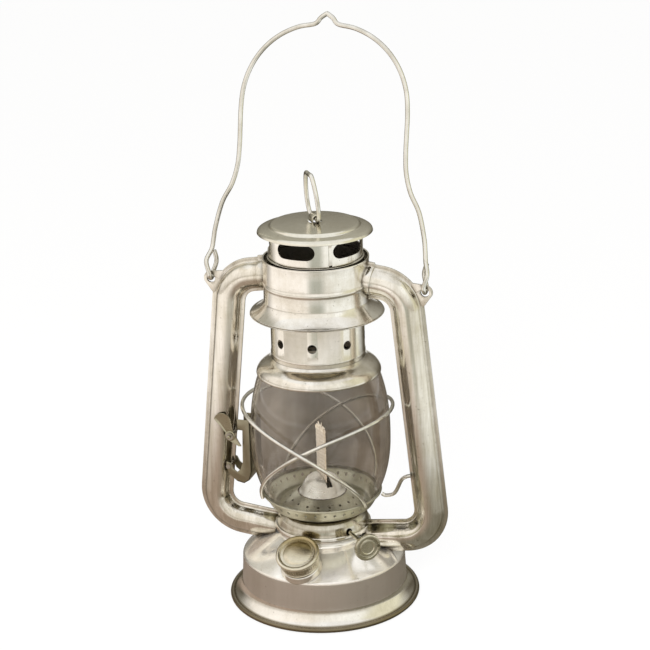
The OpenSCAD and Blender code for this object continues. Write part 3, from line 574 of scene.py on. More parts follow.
class Graph:
    """Nodes of one material or shader group, added and wired by socket."""

    def __init__(self, tree: bpy.types.NodeTree) -> None:
        """Start on an emptied node tree."""
        self.tree = tree
        tree.nodes.clear()

    def add(self, kind: str, feeds: dict[str | int, Any] | None = None, **settings: Any) -> bpy.types.Node:
        """Add a node.

        Args:
            kind: the node's type, without its usual prefix.
            feeds: values or output sockets for its inputs, by name or number.
            settings: attributes of the node.

        Returns:
            The new node.
        """
        node = self.tree.nodes.new(kind if kind.startswith("NodeGroup") else "ShaderNode" + kind)
        for key, value in settings.items():
            setattr(node, key, value)
        for key, value in (feeds or {}).items():
            if isinstance(value, Socket):
                self.tree.links.new(value, node.inputs[key])
            else:
                node.inputs[key].default_value = value
        return node

    def spot(self) -> Socket:
        """Place on the piece, in its own coordinates."""
        return self.add("TexCoord").outputs["Object"]

    def height(self) -> Socket:
        """Height of the place on the piece."""
        return self.add("SeparateXYZ", {0: self.spot()}).outputs["Z"]

    def noise(self, scale: Any, detail: float, rough: float = 0.5, drawn: Place | None = None) -> Socket:
        """Noise over the piece.

        Args:
            scale: its scale per metre, or the socket of that.
            detail: number of its finer layers.
            rough: strength of the finer layers.
            drawn: what each way is multiplied by, small where the noise is drawn out, if it is.

        Returns:
            The socket of the noise.
        """
        spot = self.spot()
        if drawn:
            spot = self.add("Mapping", {"Vector": spot, "Scale": drawn}).outputs["Vector"]
        feeds = {"Vector": spot, "Scale": scale, "Detail": detail, "Roughness": rough}
        return self.add("TexNoise", feeds).outputs["Fac"]

    def blend(self, mask: Any, under: Any, over: Any, mode: str = "MIX") -> Socket:
        """Colour that goes from one to another by a mask.

        Args:
            mask: share of the second colour.
            under: first colour or its socket.
            over: second colour or its socket.
            mode: how the second colour is laid over the first.

        Returns:
            The socket of the mixed colour.
        """
        shades = [(*c, 1.0) if isinstance(c, tuple) else c for c in (under, over)]
        feeds = {0: mask, 6: shades[0], 7: shades[1]}
        return self.add("Mix", feeds, data_type="RGBA", blend_type=mode).outputs[2]

    def stain(self, colour: Any, mask: Socket, share: float, stain: Colour) -> Socket:
        """Colour with a stain over a share of it where a mask is full."""
        return self.blend(self.math("MULTIPLY", mask, share), colour, stain)

    def level(self, mask: Any, under: Any, over: Any) -> Socket:
        """Number that goes from one to another by a mask."""
        return self.add("Mix", {0: mask, 2: under, 3: over}).outputs[0]

    def math(self, how: str, a: Any, b: Any = 0.0) -> Socket:
        """Number made of two others by an operation."""
        return self.add("Math", {0: a, 1: b}, operation=how).outputs[0]

    def vector(self, how: str, a: Any, b: Any = (0.0, 0.0, 0.0)) -> Socket:
        """Vector, or for a length or a dot product a number, made of two vectors by an operation."""
        output = "Value" if how in ("LENGTH", "DOT_PRODUCT") else "Vector"
        return self.add("VectorMath", {0: a, 1: b}, operation=how).outputs[output]

    def spread(self, value: Socket, low: Any, high: Any, start: Any = 0.0, end: Any = 1.0) -> Socket:
        """Number brought from the range of low to high into that of start to end, and held inside it."""
        feeds = {"Value": value, "From Min": low, "From Max": high, "To Min": start, "To Max": end}
        return self.add("MapRange", feeds).outputs["Result"]

    def bump(self, height: Socket, strength: float, depth: float) -> Socket:
        """Normal of a surface with a relief, which is a depth in metres where the height is 1."""
        feeds = {"Height": height, "Strength": strength, "Distance": depth}
        return self.add("Bump", feeds).outputs["Normal"]

    def shader(self, **feeds: Any) -> Socket:
        """Principled shader, its inputs named with _ for a blank."""
        named = {key.replace("_", " "): value for key, value in feeds.items()}
        return self.add("BsdfPrincipled", named).outputs["BSDF"]

    def effect(self, draw: Callable[["Graph", Any], Socket], **values: float) -> Socket:
        """Place an effect's group in a material, and build the group if it isn't there.

        Args:
            draw: draws the effect from the group's graph and input sockets, and gives the group its name.
            values: the group's input values, by name.

        Returns:
            The mask's socket.
        """
        name = draw.__name__
        tree = bpy.data.node_groups.get(name)
        if tree is None:
            tree = bpy.data.node_groups.new(name, "ShaderNodeTree")
            for key, value in values.items():
                socket = tree.interface.new_socket(key, in_out="INPUT", socket_type="NodeSocketFloat")
                socket.default_value = value
            tree.interface.new_socket("Mask", in_out="OUTPUT", socket_type="NodeSocketFloat")
            inner = Graph(tree)
            mask = draw(inner, inner.add("NodeGroupInput").outputs)
            inner.add("NodeGroupOutput", {"Mask": mask})
        return self.add("Group", dict(values), node_tree=tree).outputs["Mask"]


def tarnish_patches(inner: Graph, given: Any) -> Socket:
    """Soft uneven patches, as of tarnish: Scale per metre, from a Low to a High level of noise."""
    return inner.spread(inner.noise(given["Scale"], 6.0, 0.62), given["Low"], given["High"])


def spun_lines(inner: Graph, given: Any) -> Socket:
    """Fine lines round the lantern axis, as left by spinning and wiping: Scale per metre of height."""
    return inner.noise(given["Scale"], 3.0, 0.7, drawn=(0.04, 0.04, 1.0))


def upright_streaks_and_reflections(inner: Graph, given: Any) -> Socket:
    """Upright dark runs, painted reflection bands as well as dull marks left by drawing and drips: Scale per
    metre round the lantern.
    """
    return inner.spread(inner.noise(given["Scale"], 4.0, 0.65, drawn=(1.0, 1.0, 0.05)), 0.42, 0.72)


def corner_shade_and_grime(inner: Graph, given: Any) -> Socket:
    """Painted shade with some dirt in corners and along seams, darkest where ambient occlusion is deepest,
    broken up by noise.

    Args:
        inner: the group's graph.
        given: Reach, how far from a corner the painted shade reaches, in metres.

    Returns:
        The mask's socket.
    """
    hidden = inner.add("AmbientOcclusion", {"Distance": given["Reach"]}, samples=6).outputs["AO"]
    depth = inner.spread(hidden, 0.35, 0.9, 1.0, 0.0)
    broken = inner.spread(inner.noise(260.0, 4.0), 0.3, 0.62, 0.35, 1.0)
    return inner.math("MULTIPLY", depth, broken)


def small_spots(inner: Graph, given: Any) -> Socket:
    """Small scattered spots: Scale per metre, where the noise is above a Share."""
    full = inner.math("ADD", given["Share"], 0.05)
    return inner.spread(inner.noise(given["Scale"], 2.0), given["Share"], full)


def height_band(inner: Graph, given: Any) -> Socket:
    """Band between two heights.

    Args:
        inner: the group's graph.
        given: Low and High, its heights, and Soft, the width of its soft edges, all in metres.

    Returns:
        The mask's socket.
    """
    z, low, high = inner.height(), given["Low"], given["High"]
    rise = inner.spread(z, low, inner.math("ADD", low, given["Soft"]))
    fall = inner.spread(z, inner.math("SUBTRACT", high, given["Soft"]), high, 1.0, 0.0)
    return inner.math("MULTIPLY", rise, fall)


def inside_soot(inner: Graph, given: Any) -> Socket:
    """Soot on faces that look at a point on the lantern axis, so on the inside of a chimney.

    Args:
        inner: the group's graph.
        given: Height, the point's height in metres.

    Returns:
        The mask's socket.
    """
    centre = inner.add("CombineXYZ", {"Z": given["Height"]}).outputs["Vector"]
    way = inner.vector("NORMALIZE", inner.vector("SUBTRACT", inner.spot(), centre))
    normal = inner.add("NewGeometry").outputs["True Normal"]
    return inner.spread(inner.vector("DOT_PRODUCT", way, normal), -0.3, -0.1, 1.0, 0.0)


def new_material(name: str, surface: Callable[[Graph], Socket]) -> bpy.types.Material:
    """Build a material.

    Args:
        name: its name.
        surface: draws its nodes in a graph and gives its shader's socket.

    Returns:
        The material.
    """
    made = bpy.data.materials.new(name)
    made.use_nodes = True
    graph = Graph(made.node_tree)
    graph.add("OutputMaterial", {"Surface": surface(graph)})
    return made


@dataclass(frozen=True)
class Finish:
    """Finish with one material of its own.

    Attributes:
        name: the material's name.
    """

    name: str

    def surface(self, graph: Graph) -> Socket:
        """Draw the finish's nodes and give its shader's socket."""
        raise NotImplementedError

    def coat(self, piece: Piece) -> None:
        """Give a piece the finish as its only material.

        Args:
            piece: the piece.
        """
        made = bpy.data.materials.get(self.name) or new_material(self.name, self.surface)
        piece.data.materials.clear()
        piece.data.materials.append(made)


@dataclass(frozen=True)
class SheetMetal(Finish):
    """Plated sheet or wire with tarnish, wiped lines and specks, with painted shade and dirt in its corners
    and painted reflection bands among its upright streak marks.

    Attributes:
        base: colour of the clean metal.
        tarnish: colour of the tarnished patches.
        tarnished: share of the tarnish where it is full.
        rough: roughness of the clean metal.
        dull: what the tarnish adds to the roughness.
        patch: tarnish patches per metre.
        patch_levels: noise levels where a patch starts and where it is full.
        lines: strength of the wiped lines.
        line_scale: wiped lines per metre.
        shade_and_grime: share of the painted shade and dirt in corners.
        shade_and_grime_reach: how far the painted shade and dirt spread from a corner.
        dents: strength of the broad unevenness.
        band: heights between which the metal is toned, if any.
        band_tone: colour that the band is multiplied by; on the drum and the filler cap it is a painted
            reflection.
        band_rough: roughness of the band.
        band_soft: width of the band's soft edges.
        soot: height of the point on the axis that sooted faces look at, if any.
        sooted: share of the soot.
        soot_rough: roughness of the soot.
        streak_and_reflection_share: share of the upright streak marks and painted reflection bands where
            they are full.
        streak_and_reflection_scale: upright streak marks and painted reflection bands per metre.
        specked: share of the specks.
        speck_scale: specks per metre.
        speck_level: noise level above which a speck shows.
        relief: strength of the relief.
        relief_depth: depth of the relief.
        metal: how far the surface is bare metal and not a dull film.
        streak_and_reflection_tone: colour of the streak marks and painted reflection bands.
        shade_and_grime_tone: colour of the painted shade and dirt.
        speck_tone: colour of the specks.
        soot_tone: colour of the soot.
    """

    base: Colour = (0.91, 0.88, 0.82)
    tarnish: Colour = (0.58, 0.51, 0.37)
    tarnished: float = 0.4
    rough: float = 0.13
    dull: float = 0.12
    patch: float = 38.0
    patch_levels: Flat = (0.42, 0.72)
    lines: float = 0.04
    line_scale: float = 1400.0
    shade_and_grime: float = 0.8
    shade_and_grime_reach: float = 3.5
    dents: float = 0.08
    band: Flat | None = None
    band_tone: Colour = (0.8, 0.74, 0.71)
    band_rough: float = 0.3
    band_soft: float = 1.6
    soot: float | None = None
    sooted: float = 0.9
    soot_rough: float = 0.6
    streak_and_reflection_share: float = 0.3
    streak_and_reflection_scale: float = 170.0
    specked: float = 0.5
    speck_scale: float = 620.0
    speck_level: float = 0.7
    relief: float = 0.25
    relief_depth: float = 0.8
    metal: float = 1.0
    streak_and_reflection_tone: Colour = (0.36, 0.31, 0.2)
    shade_and_grime_tone: Colour = (0.13, 0.105, 0.07)
    speck_tone: Colour = (0.2, 0.15, 0.1)
    soot_tone: Colour = (0.055, 0.042, 0.026)

    def surface(self, graph: Graph) -> Socket:
        """Metal under its layers of tarnish, upright streak marks with painted reflection bands, painted
        shade with dirt, specks and soot.

        Args:
            graph: the material's graph.

        Returns:
            The shader's socket.
        """
        start, full = self.patch_levels
        patches = graph.effect(tarnish_patches, Scale=self.patch, Low=start, High=full)
        lines = graph.effect(spun_lines, Scale=self.line_scale)
        streaks_and_reflections = graph.effect(upright_streaks_and_reflections, Scale=self.streak_and_reflection_scale)
        colour = graph.stain(self.base, patches, self.tarnished, self.tarnish)
        # Painted reflection: dark upright bands, together with dull marks of drawing and drips.
        colour = graph.stain(colour, streaks_and_reflections, self.streak_and_reflection_share, self.streak_and_reflection_tone)
        rough = graph.spread(patches, 0.0, 1.0, self.rough, self.rough + self.dull)
        if self.band:
            low, high = self.band
            band = graph.effect(height_band, Low=low * MM, High=high * MM, Soft=self.band_soft * MM)
            colour = graph.blend(band, colour, self.band_tone, "MULTIPLY")
            rough = graph.level(band, rough, self.band_rough)
        # Painted shade: corners and seams darkened by ambient occlusion, with some dirt.
        shade_and_grime = graph.effect(corner_shade_and_grime, Reach=self.shade_and_grime_reach * MM)
        colour = graph.stain(colour, shade_and_grime, self.shade_and_grime, self.shade_and_grime_tone)
        specks = graph.effect(small_spots, Scale=self.speck_scale, Share=self.speck_level)
        colour = graph.stain(colour, specks, self.specked, self.speck_tone)
        if self.soot is not None:
            soot = graph.effect(inside_soot, Height=self.soot * MM)
            colour = graph.stain(colour, soot, self.sooted, self.soot_tone)
            rough = graph.level(graph.math("MULTIPLY", soot, self.sooted), rough, self.soot_rough)
        rough = graph.math("ADD", rough, graph.spread(lines, 0.35, 0.65, -self.lines, self.lines))
        wiped = graph.math("MULTIPLY", lines, self.lines)
        dented = graph.math("MULTIPLY", patches, self.dents)
        normal = graph.bump(graph.math("ADD", wiped, dented), self.relief, self.relief_depth * MM)
        return graph.shader(Base_Color=colour, Roughness=rough, Normal=normal, Metallic=self.metal)


@dataclass(frozen=True)
class SmokedGlass(Finish):
    """Clear glass with a faint smoke tint, wiped smears and painted reflection bands.

    Attributes:
        tint: colour of one wall.
        smear: colour of one wall where soot is left.
        band: colour of one wall in its darker upright bands, a painted reflection.
    """

    tint: Colour = (0.93, 0.92, 0.905)
    smear: Colour = (0.84, 0.82, 0.795)
    band: Colour = (0.68, 0.63, 0.575)

    def surface(self, graph: Graph) -> Socket:
        """Tinted glass that casts no shadow.

        Args:
            graph: the material's graph.

        Returns:
            The shader's socket.
        """
        smears = graph.effect(tarnish_patches, Scale=38.0, Low=0.38, High=0.72)
        smoke = graph.blend(smears, self.tint, self.smear)
        # Painted reflection: darker upright bands in the glass.
        colour = graph.blend(graph.effect(upright_streaks_and_reflections, Scale=34.0), smoke, self.band)
        rough = graph.spread(smears, 0.0, 1.0, 0.02, 0.07)
        feeds = {"Base_Color": colour, "Roughness": rough, "IOR": 1.46}
        glass = graph.shader(**feeds, Transmission_Weight=1.0, Metallic=0.0)
        lit = graph.add("BsdfTransparent", {"Color": (1.0, 1.0, 1.0, 1.0)}).outputs["BSDF"]
        shadow = graph.add("LightPath").outputs["Is Shadow Ray"]
        return graph.add("MixShader", {0: shadow, 1: glass, 2: lit}).outputs["Shader"]


@dataclass(frozen=True)
class WovenCotton(Finish):
    """Flat woven cotton, cream, with painted shade in the darker gaps between the threads.

    Attributes:
        thread: colour of the threads.
        gap: colour of the gaps, a painted shade.
        bearing: bearing of the wick's width.
    """

    thread: Colour = (0.97, 0.9, 0.77)
    gap: Colour = (0.6, 0.48, 0.34)
    bearing: float = -47.0

    def surface(self, graph: Graph) -> Socket:
        """Threads across and along the wick, under a little fuzz.

        Args:
            graph: the material's graph.

        Returns:
            The shader's socket.
        """
        turn = (0.0, 0.0, math.radians(-self.bearing))
        along = graph.add("Mapping", {"Vector": graph.spot(), "Rotation": turn}).outputs["Vector"]
        threads = []
        for way, scale, waver in (("Z", 150.0, 2.4), ("X", 170.0, 1.6)):
            feeds = {"Vector": along, "Scale": scale, "Distortion": waver, "Detail": 2.0}
            threads.append(graph.add("TexWave", feeds, bands_direction=way).outputs["Fac"])
        weave = graph.spread(graph.math("MULTIPLY", *threads), 0.0, 0.35, 0.35, 1.0)
        fuzz = graph.effect(tarnish_patches, Scale=520.0, Low=0.38, High=0.6)
        cloth = graph.math("MULTIPLY", weave, graph.spread(fuzz, 0.0, 1.0, 0.6, 1.0))
        # Painted shade in the gaps between the threads.
        colour, normal = graph.blend(cloth, self.gap, self.thread), graph.bump(cloth, 0.6, 0.0004)
        return graph.shader(Base_Color=colour, Normal=normal, Roughness=0.9, Sheen_Weight=0.3)


@dataclass(frozen=True)
class PressedCork(Finish):
    """Pressed cork, brown with dark grains.

    Attributes:
        base: its main colour.
        grain: colour of its grains.
    """

    base: Colour = (0.42, 0.3, 0.19)
    grain: Colour = (0.16, 0.1, 0.06)

    def surface(self, graph: Graph) -> Socket:
        """Grains that stand a little proud.

        Args:
            graph: the material's graph.

        Returns:
            The shader's socket.
        """
        grains = graph.effect(small_spots, Scale=900.0, Share=0.58)
        colour, normal = graph.blend(grains, self.base, self.grain), graph.bump(grains, 0.4, 0.0004)
        return graph.shader(Base_Color=colour, Normal=normal, Roughness=0.85)


TIN = SheetMetal("tin_sheet")
# Strong painted shade along the creases between the flanges and the tube.
TUBE_TIN = SheetMetal(
    "tin_tube", base=(0.885, 0.85, 0.78), tarnish=(0.55, 0.49, 0.31), shade_and_grime=1.7, streak_and_reflection_share=0.55
)
# Painted reflection: the band darkens the drum wall to a mauve grey, as a brown table in front would show in
# it.
DRUM = SheetMetal(
    "tin_drum",
    tarnished=0.2,
    band=(9.0, 28.2),
    band_tone=(0.5, 0.455, 0.42),
    lines=0.01,
    streak_and_reflection_share=0.12,
    metal=0.8,
)
# Painted shade and reflection: a darker base, strong upright bands and a wide corner darkening on the bell's
# sides.
BELL_TIN = SheetMetal(
    "tin_bell", base=(0.7, 0.67, 0.58), tarnish=(0.3, 0.26, 0.17), streak_and_reflection_share=0.7, shade_and_grime=1.0, shade_and_grime_reach=8.0
)
FOOT = SheetMetal("tin_foot", band=(-5.0, 3.4), band_tone=(0.26, 0.225, 0.16), band_soft=0.8, streak_and_reflection_share=0.15)
HOOD_TIN = SheetMetal("tin_hood", patch=80.0, dents=0.04, soot=205.0, sooted=0.4, streak_and_reflection_share=0.15)
PIPE_TIN = SheetMetal(
    "tin_pipe", tarnish=(0.55, 0.5, 0.36), tarnished=0.6, soot=205.0, sooted=0.72, streak_and_reflection_share=0.15
)
CROWN_TIN = SheetMetal("tin_crown", soot=150.0, sooted=0.7, tarnished=0.6)
CAP_TIN = SheetMetal(
    "tin_cap",
    base=(0.84, 0.81, 0.71),
    tarnish=(0.57, 0.52, 0.4),
    rough=0.14,
    soot=150.0,
    sooted=0.5,
    streak_and_reflection_share=0.1,
)
PLATE_TIN = SheetMetal(
    "tin_plate", base=(0.6, 0.585, 0.46), tarnish=(0.36, 0.335, 0.22), tarnished=0.7, rough=0.3, metal=0.93
)
DOME_TIN = SheetMetal("tin_dome", base=(0.9, 0.885, 0.81), rough=0.28, streak_and_reflection_share=0.1, metal=0.78)
WIRE = SheetMetal("tin_wire", base=(0.85, 0.835, 0.78), tarnish=(0.4, 0.36, 0.27), shade_and_grime=0.5, patch=70.0)
YELLOWED = SheetMetal("yellowed_plate", base=(0.7, 0.65, 0.49), tarnish=(0.42, 0.36, 0.2), rough=0.17)
# Painted reflection: the band tones the cap darker olive above 43 mm, over its bright lower edge.
FILLER_CAP = SheetMetal(
    "filler_plate",
    base=(0.78, 0.73, 0.6),
    tarnish=(0.5, 0.44, 0.28),
    rough=0.16,
    band=(43.0, 75.0),
    band_tone=(0.6, 0.53, 0.37),
    band_rough=0.24,
    band_soft=5.0,
)
WORN = SheetMetal(
    "worn_plate", base=(0.84, 0.8, 0.65), tarnish=(0.5, 0.46, 0.31), tarnished=0.6, rough=0.24, patch=120.0
)
OLIVE = SheetMetal(
    "olive_plate", base=(0.52, 0.5, 0.38), tarnish=(0.3, 0.27, 0.17), tarnished=0.7, rough=0.22
)
DARKENED = SheetMetal(
    "darkened_plate", base=(0.42, 0.39, 0.29), tarnish=(0.2, 0.17, 0.1), tarnished=0.7, rough=0.3
)
STEEL = SheetMetal("plain_steel", base=(0.56, 0.54, 0.5), tarnish=(0.3, 0.26, 0.2), rough=0.24)
GLASS = SmokedGlass("smoked_glass")
COTTON = WovenCotton("woven_cotton")
CORK = PressedCork("pressed_cork")


def dress(piece: Piece, finish: Finish, body: Body, slot: Slot, *nodes: str) -> Piece:
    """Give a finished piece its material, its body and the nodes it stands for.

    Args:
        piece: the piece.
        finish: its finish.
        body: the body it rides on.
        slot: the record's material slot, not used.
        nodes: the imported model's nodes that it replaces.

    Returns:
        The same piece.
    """
    finish.coat(piece)
    if nodes:
        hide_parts(*nodes)
    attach(piece, body.value)
    LOG.info("%s: %d faces on %s", piece.name, len(piece.data.polygons), body.value)
    return piece


@dataclass
class Tank:
    """Flared foot, drum with conical top, and burner boss."""

    wall: float = 0.8
    foot_r: float = 58.0
    bead: float = 1.5
    foot_h: float = 10.7
    drum_r: float = 50.2
    toe_h: float = 14.0
    toe_hollow: float = 0.03
    shoulder: Flat = (47.4, 26.4)
    shoulder_round: float = 2.0
    slope: float = 27.8
    boss_r: float = 26.0
    boss_h: float = 4.0
    boss_round: float = 0.8
    hole_r: float = 20.0
    steps: int = 128

    def cone_z(self, radius: float) -> float:
        """Height of the cone at a radius.

        Args:
            radius: the radius.

        Returns:
            The height.
        """
        turn = math.radians(90 - self.slope)
        start_r = self.shoulder[0] + self.shoulder_round * math.cos(turn)
        start_z = self.shoulder[1] + self.shoulder_round * math.sin(turn)
        return start_z + (start_r - radius) * math.tan(math.radians(self.slope))

    def foot(self) -> None:
        """Flared skirt that ends in a rolled rim."""
        centre = (self.foot_r - self.bead, self.bead - 0.2)
        line = [(r, max(z, 0.0)) for r, z in Line.arc(centre, self.bead, 180, 492, 22)]
        reach, rise = centre[0] - self.drum_r, self.foot_h - self.bead
        for t in (i / 14 for i in range(2, 15)):
            line.append((self.drum_r + 0.15 + reach * (1 - t) ** 2, self.bead + rise * t))
        line += [(self.drum_r - 0.3, self.foot_h), (self.drum_r - 3, self.foot_h)]
        skirt = Bench.turn("foot_sheet", line, self.wall, self.steps)
        dress(Bench.soften(skirt), FOOT, Body.FRAME, Slot.TIN, "foot_skirt")

    def drum(self, mouth: Piece) -> None:
        """Drum, cone and boss in one sheet, with the filler's mouth cut out.

        Args:
            mouth: cutter for the filler's mouth.
        """
        boss, boss_z = self.boss_r, self.cone_z(self.boss_r)
        line = []
        for z in (self.foot_h, 11.4, 12.1, 12.9, self.toe_h):
            line.append((self.drum_r + self.toe_hollow * (self.toe_h - z) ** 2 - 0.25, z))
        line += [(49.85, 17), (49.6, 21)]
        line += Line.arc(self.shoulder, self.shoulder_round, 0, 90 - self.slope, 6)
        line += [(r, self.cone_z(r)) for r in (44, 40, 36, 32, 28.4)]
        line += [(boss + 1, boss_z - 0.45), (boss + 0.3, boss_z + 0.1), (boss, boss_z + 0.8)]
        edge = (boss - self.boss_round, boss_z + self.boss_h - self.boss_round)
        line += Line.arc(edge, self.boss_round, 0, 90, 4)
        line += [(self.hole_r, boss_z + self.boss_h)]
        shell = Bench.cut(Bench.turn("drum_sheet", line, self.wall, self.steps), mouth)
        dress(Bench.soften(shell), DRUM, Body.FRAME, Slot.TIN, "tank_shell")


@dataclass
class Filler:
    """Filler neck and knurled cap on an axis square to the tank's cone."""

    bearing: float = -92.5
    distance: float = 38.8
    neck_r: float = 9.8
    neck_h: float = 12.2
    neck_wall: float = 0.8
    neck_low: float = -2.4
    cap_r: float = 12.8
    cap_top: float = 14.0
    cap_low: float = 4.2
    dome_h: float = 2.2
    steps: int = 192
    rib_pitch: int = 4
    rib_share: float = 1.045
    tank: Tank = field(default_factory=Tank)

    @property
    def stand(self) -> Matrix:
        """Place of the filler: its foot on the cone, its own Z along the neck."""
        foot = shifted(self.distance, 0, self.tank.cone_z(self.distance))
        return rotated(self.bearing, "Z") @ foot @ rotated(self.tank.slope, "Y")

    def mouth(self) -> Piece:
        """Cutter for the hole in the tank."""
        return Bench.rod("mouth_cutter", self.neck_r + 0.05, 40, self.stand, 64)

    def neck(self) -> None:
        """Neck with a broad soldered collar."""
        collar, r, low = self.cap_r - 0.8, self.neck_r, self.neck_low
        line = [(collar + 0.5, low), (collar + 0.4, 0.4), (collar + 0.1, 1.2), (collar, 3.2)]
        line += [(collar - 0.6, 3.8), (r, 3.8), (r, self.neck_h)]
        line += [(r - self.neck_wall, self.neck_h), (r - self.neck_wall, low)]
        neck = Bench.turn("filler_neck_sheet", [*line, line[0]])
        Bench.place(Bench.soften(neck, 0.15), self.stand)
        dress(neck, TIN, Body.FRAME, Slot.FITTINGS, "filler_neck")

    def cap(self) -> None:
        """Pressed cap with a knurled skirt, a raised rim and a shallow dome."""
        r, top, low = self.cap_r, self.cap_top, self.cap_low
        inside, roof = self.neck_r + 0.4, self.neck_h + 1.0
        line = [(0, roof), (inside, roof), (inside, low), (r - 1.5, low)]
        line += [(r - 1.2, low + 0.3), (r - 1.2, low + 0.9), (r - 1.6, low + 1.2), (r - 1.6, low + 1.5)]
        line += [(r - 1.5, low + 1.8), (r - 1.5, top - 3.9), (r - 1.8, top - 3.5), (r - 1.8, top - 2.7)]
        line += Line.arc((r - 1.1, top - 1.4), 1.3, -120, 110, 14)
        line += [(r - 2.6, top - 0.9), (r - 3.0, top - 1.5), (r - 3.4, top - 1.6)]
        for a in (0.1, 0.35, 0.6, 0.85, 1.1, 1.35):
            line.append(((r - 3.7) * math.cos(a), top - 1.5 + self.dome_h * math.sin(a)))
        line += [(0, top + 0.7)]
        cap = Bench.turn("filler_cap_pressing", line, 0, self.steps)
        skirt = (low + 1.7, top - 3.8)
        Bench.knurl(cap, self.steps, self.rib_pitch, self.rib_share, inside + 0.5, skirt)
        Bench.place(Bench.soften(cap, 0, 28), self.stand)
        dress(cap, FILLER_CAP, Body.CAP, Slot.FITTINGS, "filler_cap")


@dataclass
class SideTubes:
    """Two hollow tubes, each of two pressed halves with seam flanges and bail ears."""

    radius: float = 7.5
    wall: float = 0.8
    flange: float = 10.25
    flange_t: float = 0.6
    seam: float = 0.03
    elbow: float = 17.5
    top: Flat = (53.2, 198.1)
    low: Flat = (69.4, 44.5)
    head_x: float = 27.5
    hood_r: float = 30.6
    foot_x: float = 28.4
    top_fall: float = 8.0
    low_fall: float = 6.9
    ear: Flat = (65.2, 196.0)
    ear_r: float = 4.5
    ear_hole: float = 2.5
    collar: float = 6.6
    collar_step: float = 0.3
    collar_share: float = 1.09

    def ends(self) -> tuple[Vector, Vector, Vector, Vector]:
        """Ends and corners of the right tube's middle line, as X and Z.

        Returns:
            Its head, upper corner, lower corner and foot.
        """
        top, low = Vector(self.top), Vector(self.low)
        rise = (top.x - self.head_x) * math.tan(math.radians(self.top_fall))
        fall = (low.x - self.foot_x) * math.tan(math.radians(self.low_fall))
        return Vector((self.head_x, top.y + rise)), top, low, Vector((self.foot_x, low.y - fall))

    def section(self) -> list[Flat]:
        """Outline of one half's section.

        Returns:
            Points outwards and away from the seam.
        """
        r, f, t = self.radius, self.flange, self.flange_t
        right = [(f, self.seam), (f, t), (8.7, t), (8.1, t + 0.12), (7.65, t + 0.5)]
        crown = Line.arc((0, 0), r, 15, 165, 18)
        left = [(-u, v) for u, v in reversed(right)]
        bore = Line.arc((0, 0), r - self.wall, 180, 0, 18)
        bore[0], bore[-1] = (bore[0][0], self.seam), (bore[-1][0], self.seam)
        return [*right, *crown, *left, *bore]

    def elbow_at(self, before: Vector, corner: Vector, after: Vector) -> tuple[Vector, float, float]:
        """Bend between two runs.

        Args:
            before: way of the run before the corner.
            corner: the corner of the middle line.
            after: way of the run after it.

        Returns:
            The bend's centre, its angle and how far it reaches along each run.
        """
        angle = before.angle(after)
        reach = self.elbow * math.tan(angle / 2)
        return corner - before * reach - Vector((-before.y, before.x)) * self.elbow, angle, reach

    def run(self, name: str) -> Piece:
        """Back half of the right tube, drawn from the hood round both elbows to the burner.

        Args:
            name: the piece's name.

        Returns:
            The new piece.
        """
        head, top, low, foot = self.ends()
        first, middle, last = ((b - a).normalized() for a, b in pairwise((head, top, low, foot)))
        top_centre, top_turn, top_reach = self.elbow_at(first, top, middle)
        low_centre, low_turn, low_reach = self.elbow_at(middle, low, last)
        wide, out, past = self.collar_share, Vector((-first.y, first.x)), self.collar + self.collar_step
        ring = [(head.x + wide * u * out.x, wide * v, head.y + wide * u * out.y) for u, v in self.section()]
        half = Bench.loop(name, ring)

        def draw(way: Vector, length: float) -> None:
            """Extrude the open end along a straight run."""
            Bench.draw(Vector((way.x, 0, way.y)) * length * MM)

        def bend(centre: Vector, angle: float) -> None:
            """Spin the open end round an elbow."""
            about = Vector((centre.x, 0, centre.y)) * MM
            bpy.ops.mesh.spin(steps=16, angle=angle, center=about, axis=(0, -1, 0))

        with Bench.editing(half):
            draw(first, self.collar)
            neck = head + first * self.collar
            draw(first, self.collar_step)
            bpy.ops.transform.resize(value=[1 / wide] * 3, center_override=Vector((neck.x, 0, neck.y)) * MM)
            draw(first, (top - head).length - top_reach - past)
            bend(top_centre, top_turn)
            draw(middle, (low - top).length - top_reach - low_reach)
            bend(low_centre, low_turn)
            draw(last, (foot - low).length - low_reach)
            Bench.mend(fill=True)
        return Bench.cut(half, Bench.rod("hood_cutter", self.hood_r, 60, shifted(0, 0, top.y), 128))

    def ear_plate(self, name: str) -> Piece:
        """Ear for the bail on the upper elbow's flange.

        Args:
            name: the piece's name.

        Returns:
            The new piece.
        """
        head, top, low, _ = self.ends()
        centre, _, _ = self.elbow_at((top - head).normalized(), top, (low - top).normalized())
        edge, root = self.elbow + self.flange - 0.6, self.elbow + self.radius + 0.4
        outline = []
        for radius, start, end, steps in ((edge, 9, 10, 1), (root, 13, 39, 6), (edge, 42, 43, 1)):
            outline += Line.arc((centre.x, centre.y), radius, start, end, steps)
        outline += Line.arc(self.ear, self.ear_r, 88, -20, 14)
        thick = self.flange_t + 2 * self.seam
        plate = Bench.plate(name, [(x, self.seam, z) for x, z in outline], (0, thick, 0))
        hole = shifted(self.ear[0], 0, self.ear[1]) @ rotated(90, "X")
        return Bench.cut(plate, Bench.rod("ear_cutter", self.ear_hole, 8, hole, 40))

    def build(self) -> None:
        """Model one half once and mirror it to the other three places."""
        half = Bench.join("right_tube_back_pressing", [self.run("tube_run"), self.ear_plate("tube_ear")])
        Bench.soften(half, 0.12, 50)
        for side in Side:
            for facing in Facing:
                node = f"{side.name.lower()}_tube_{facing.name.lower()}"
                piece = half
                if (side, facing) != (Side.RIGHT, Facing.BACK):
                    mirror = Matrix.Diagonal((side.value, facing.value, 1, 1))
                    piece = Bench.copy(half, node + "_pressing", mirror)
                dress(piece, TUBE_TIN, Body.FRAME, Slot.TIN, node)


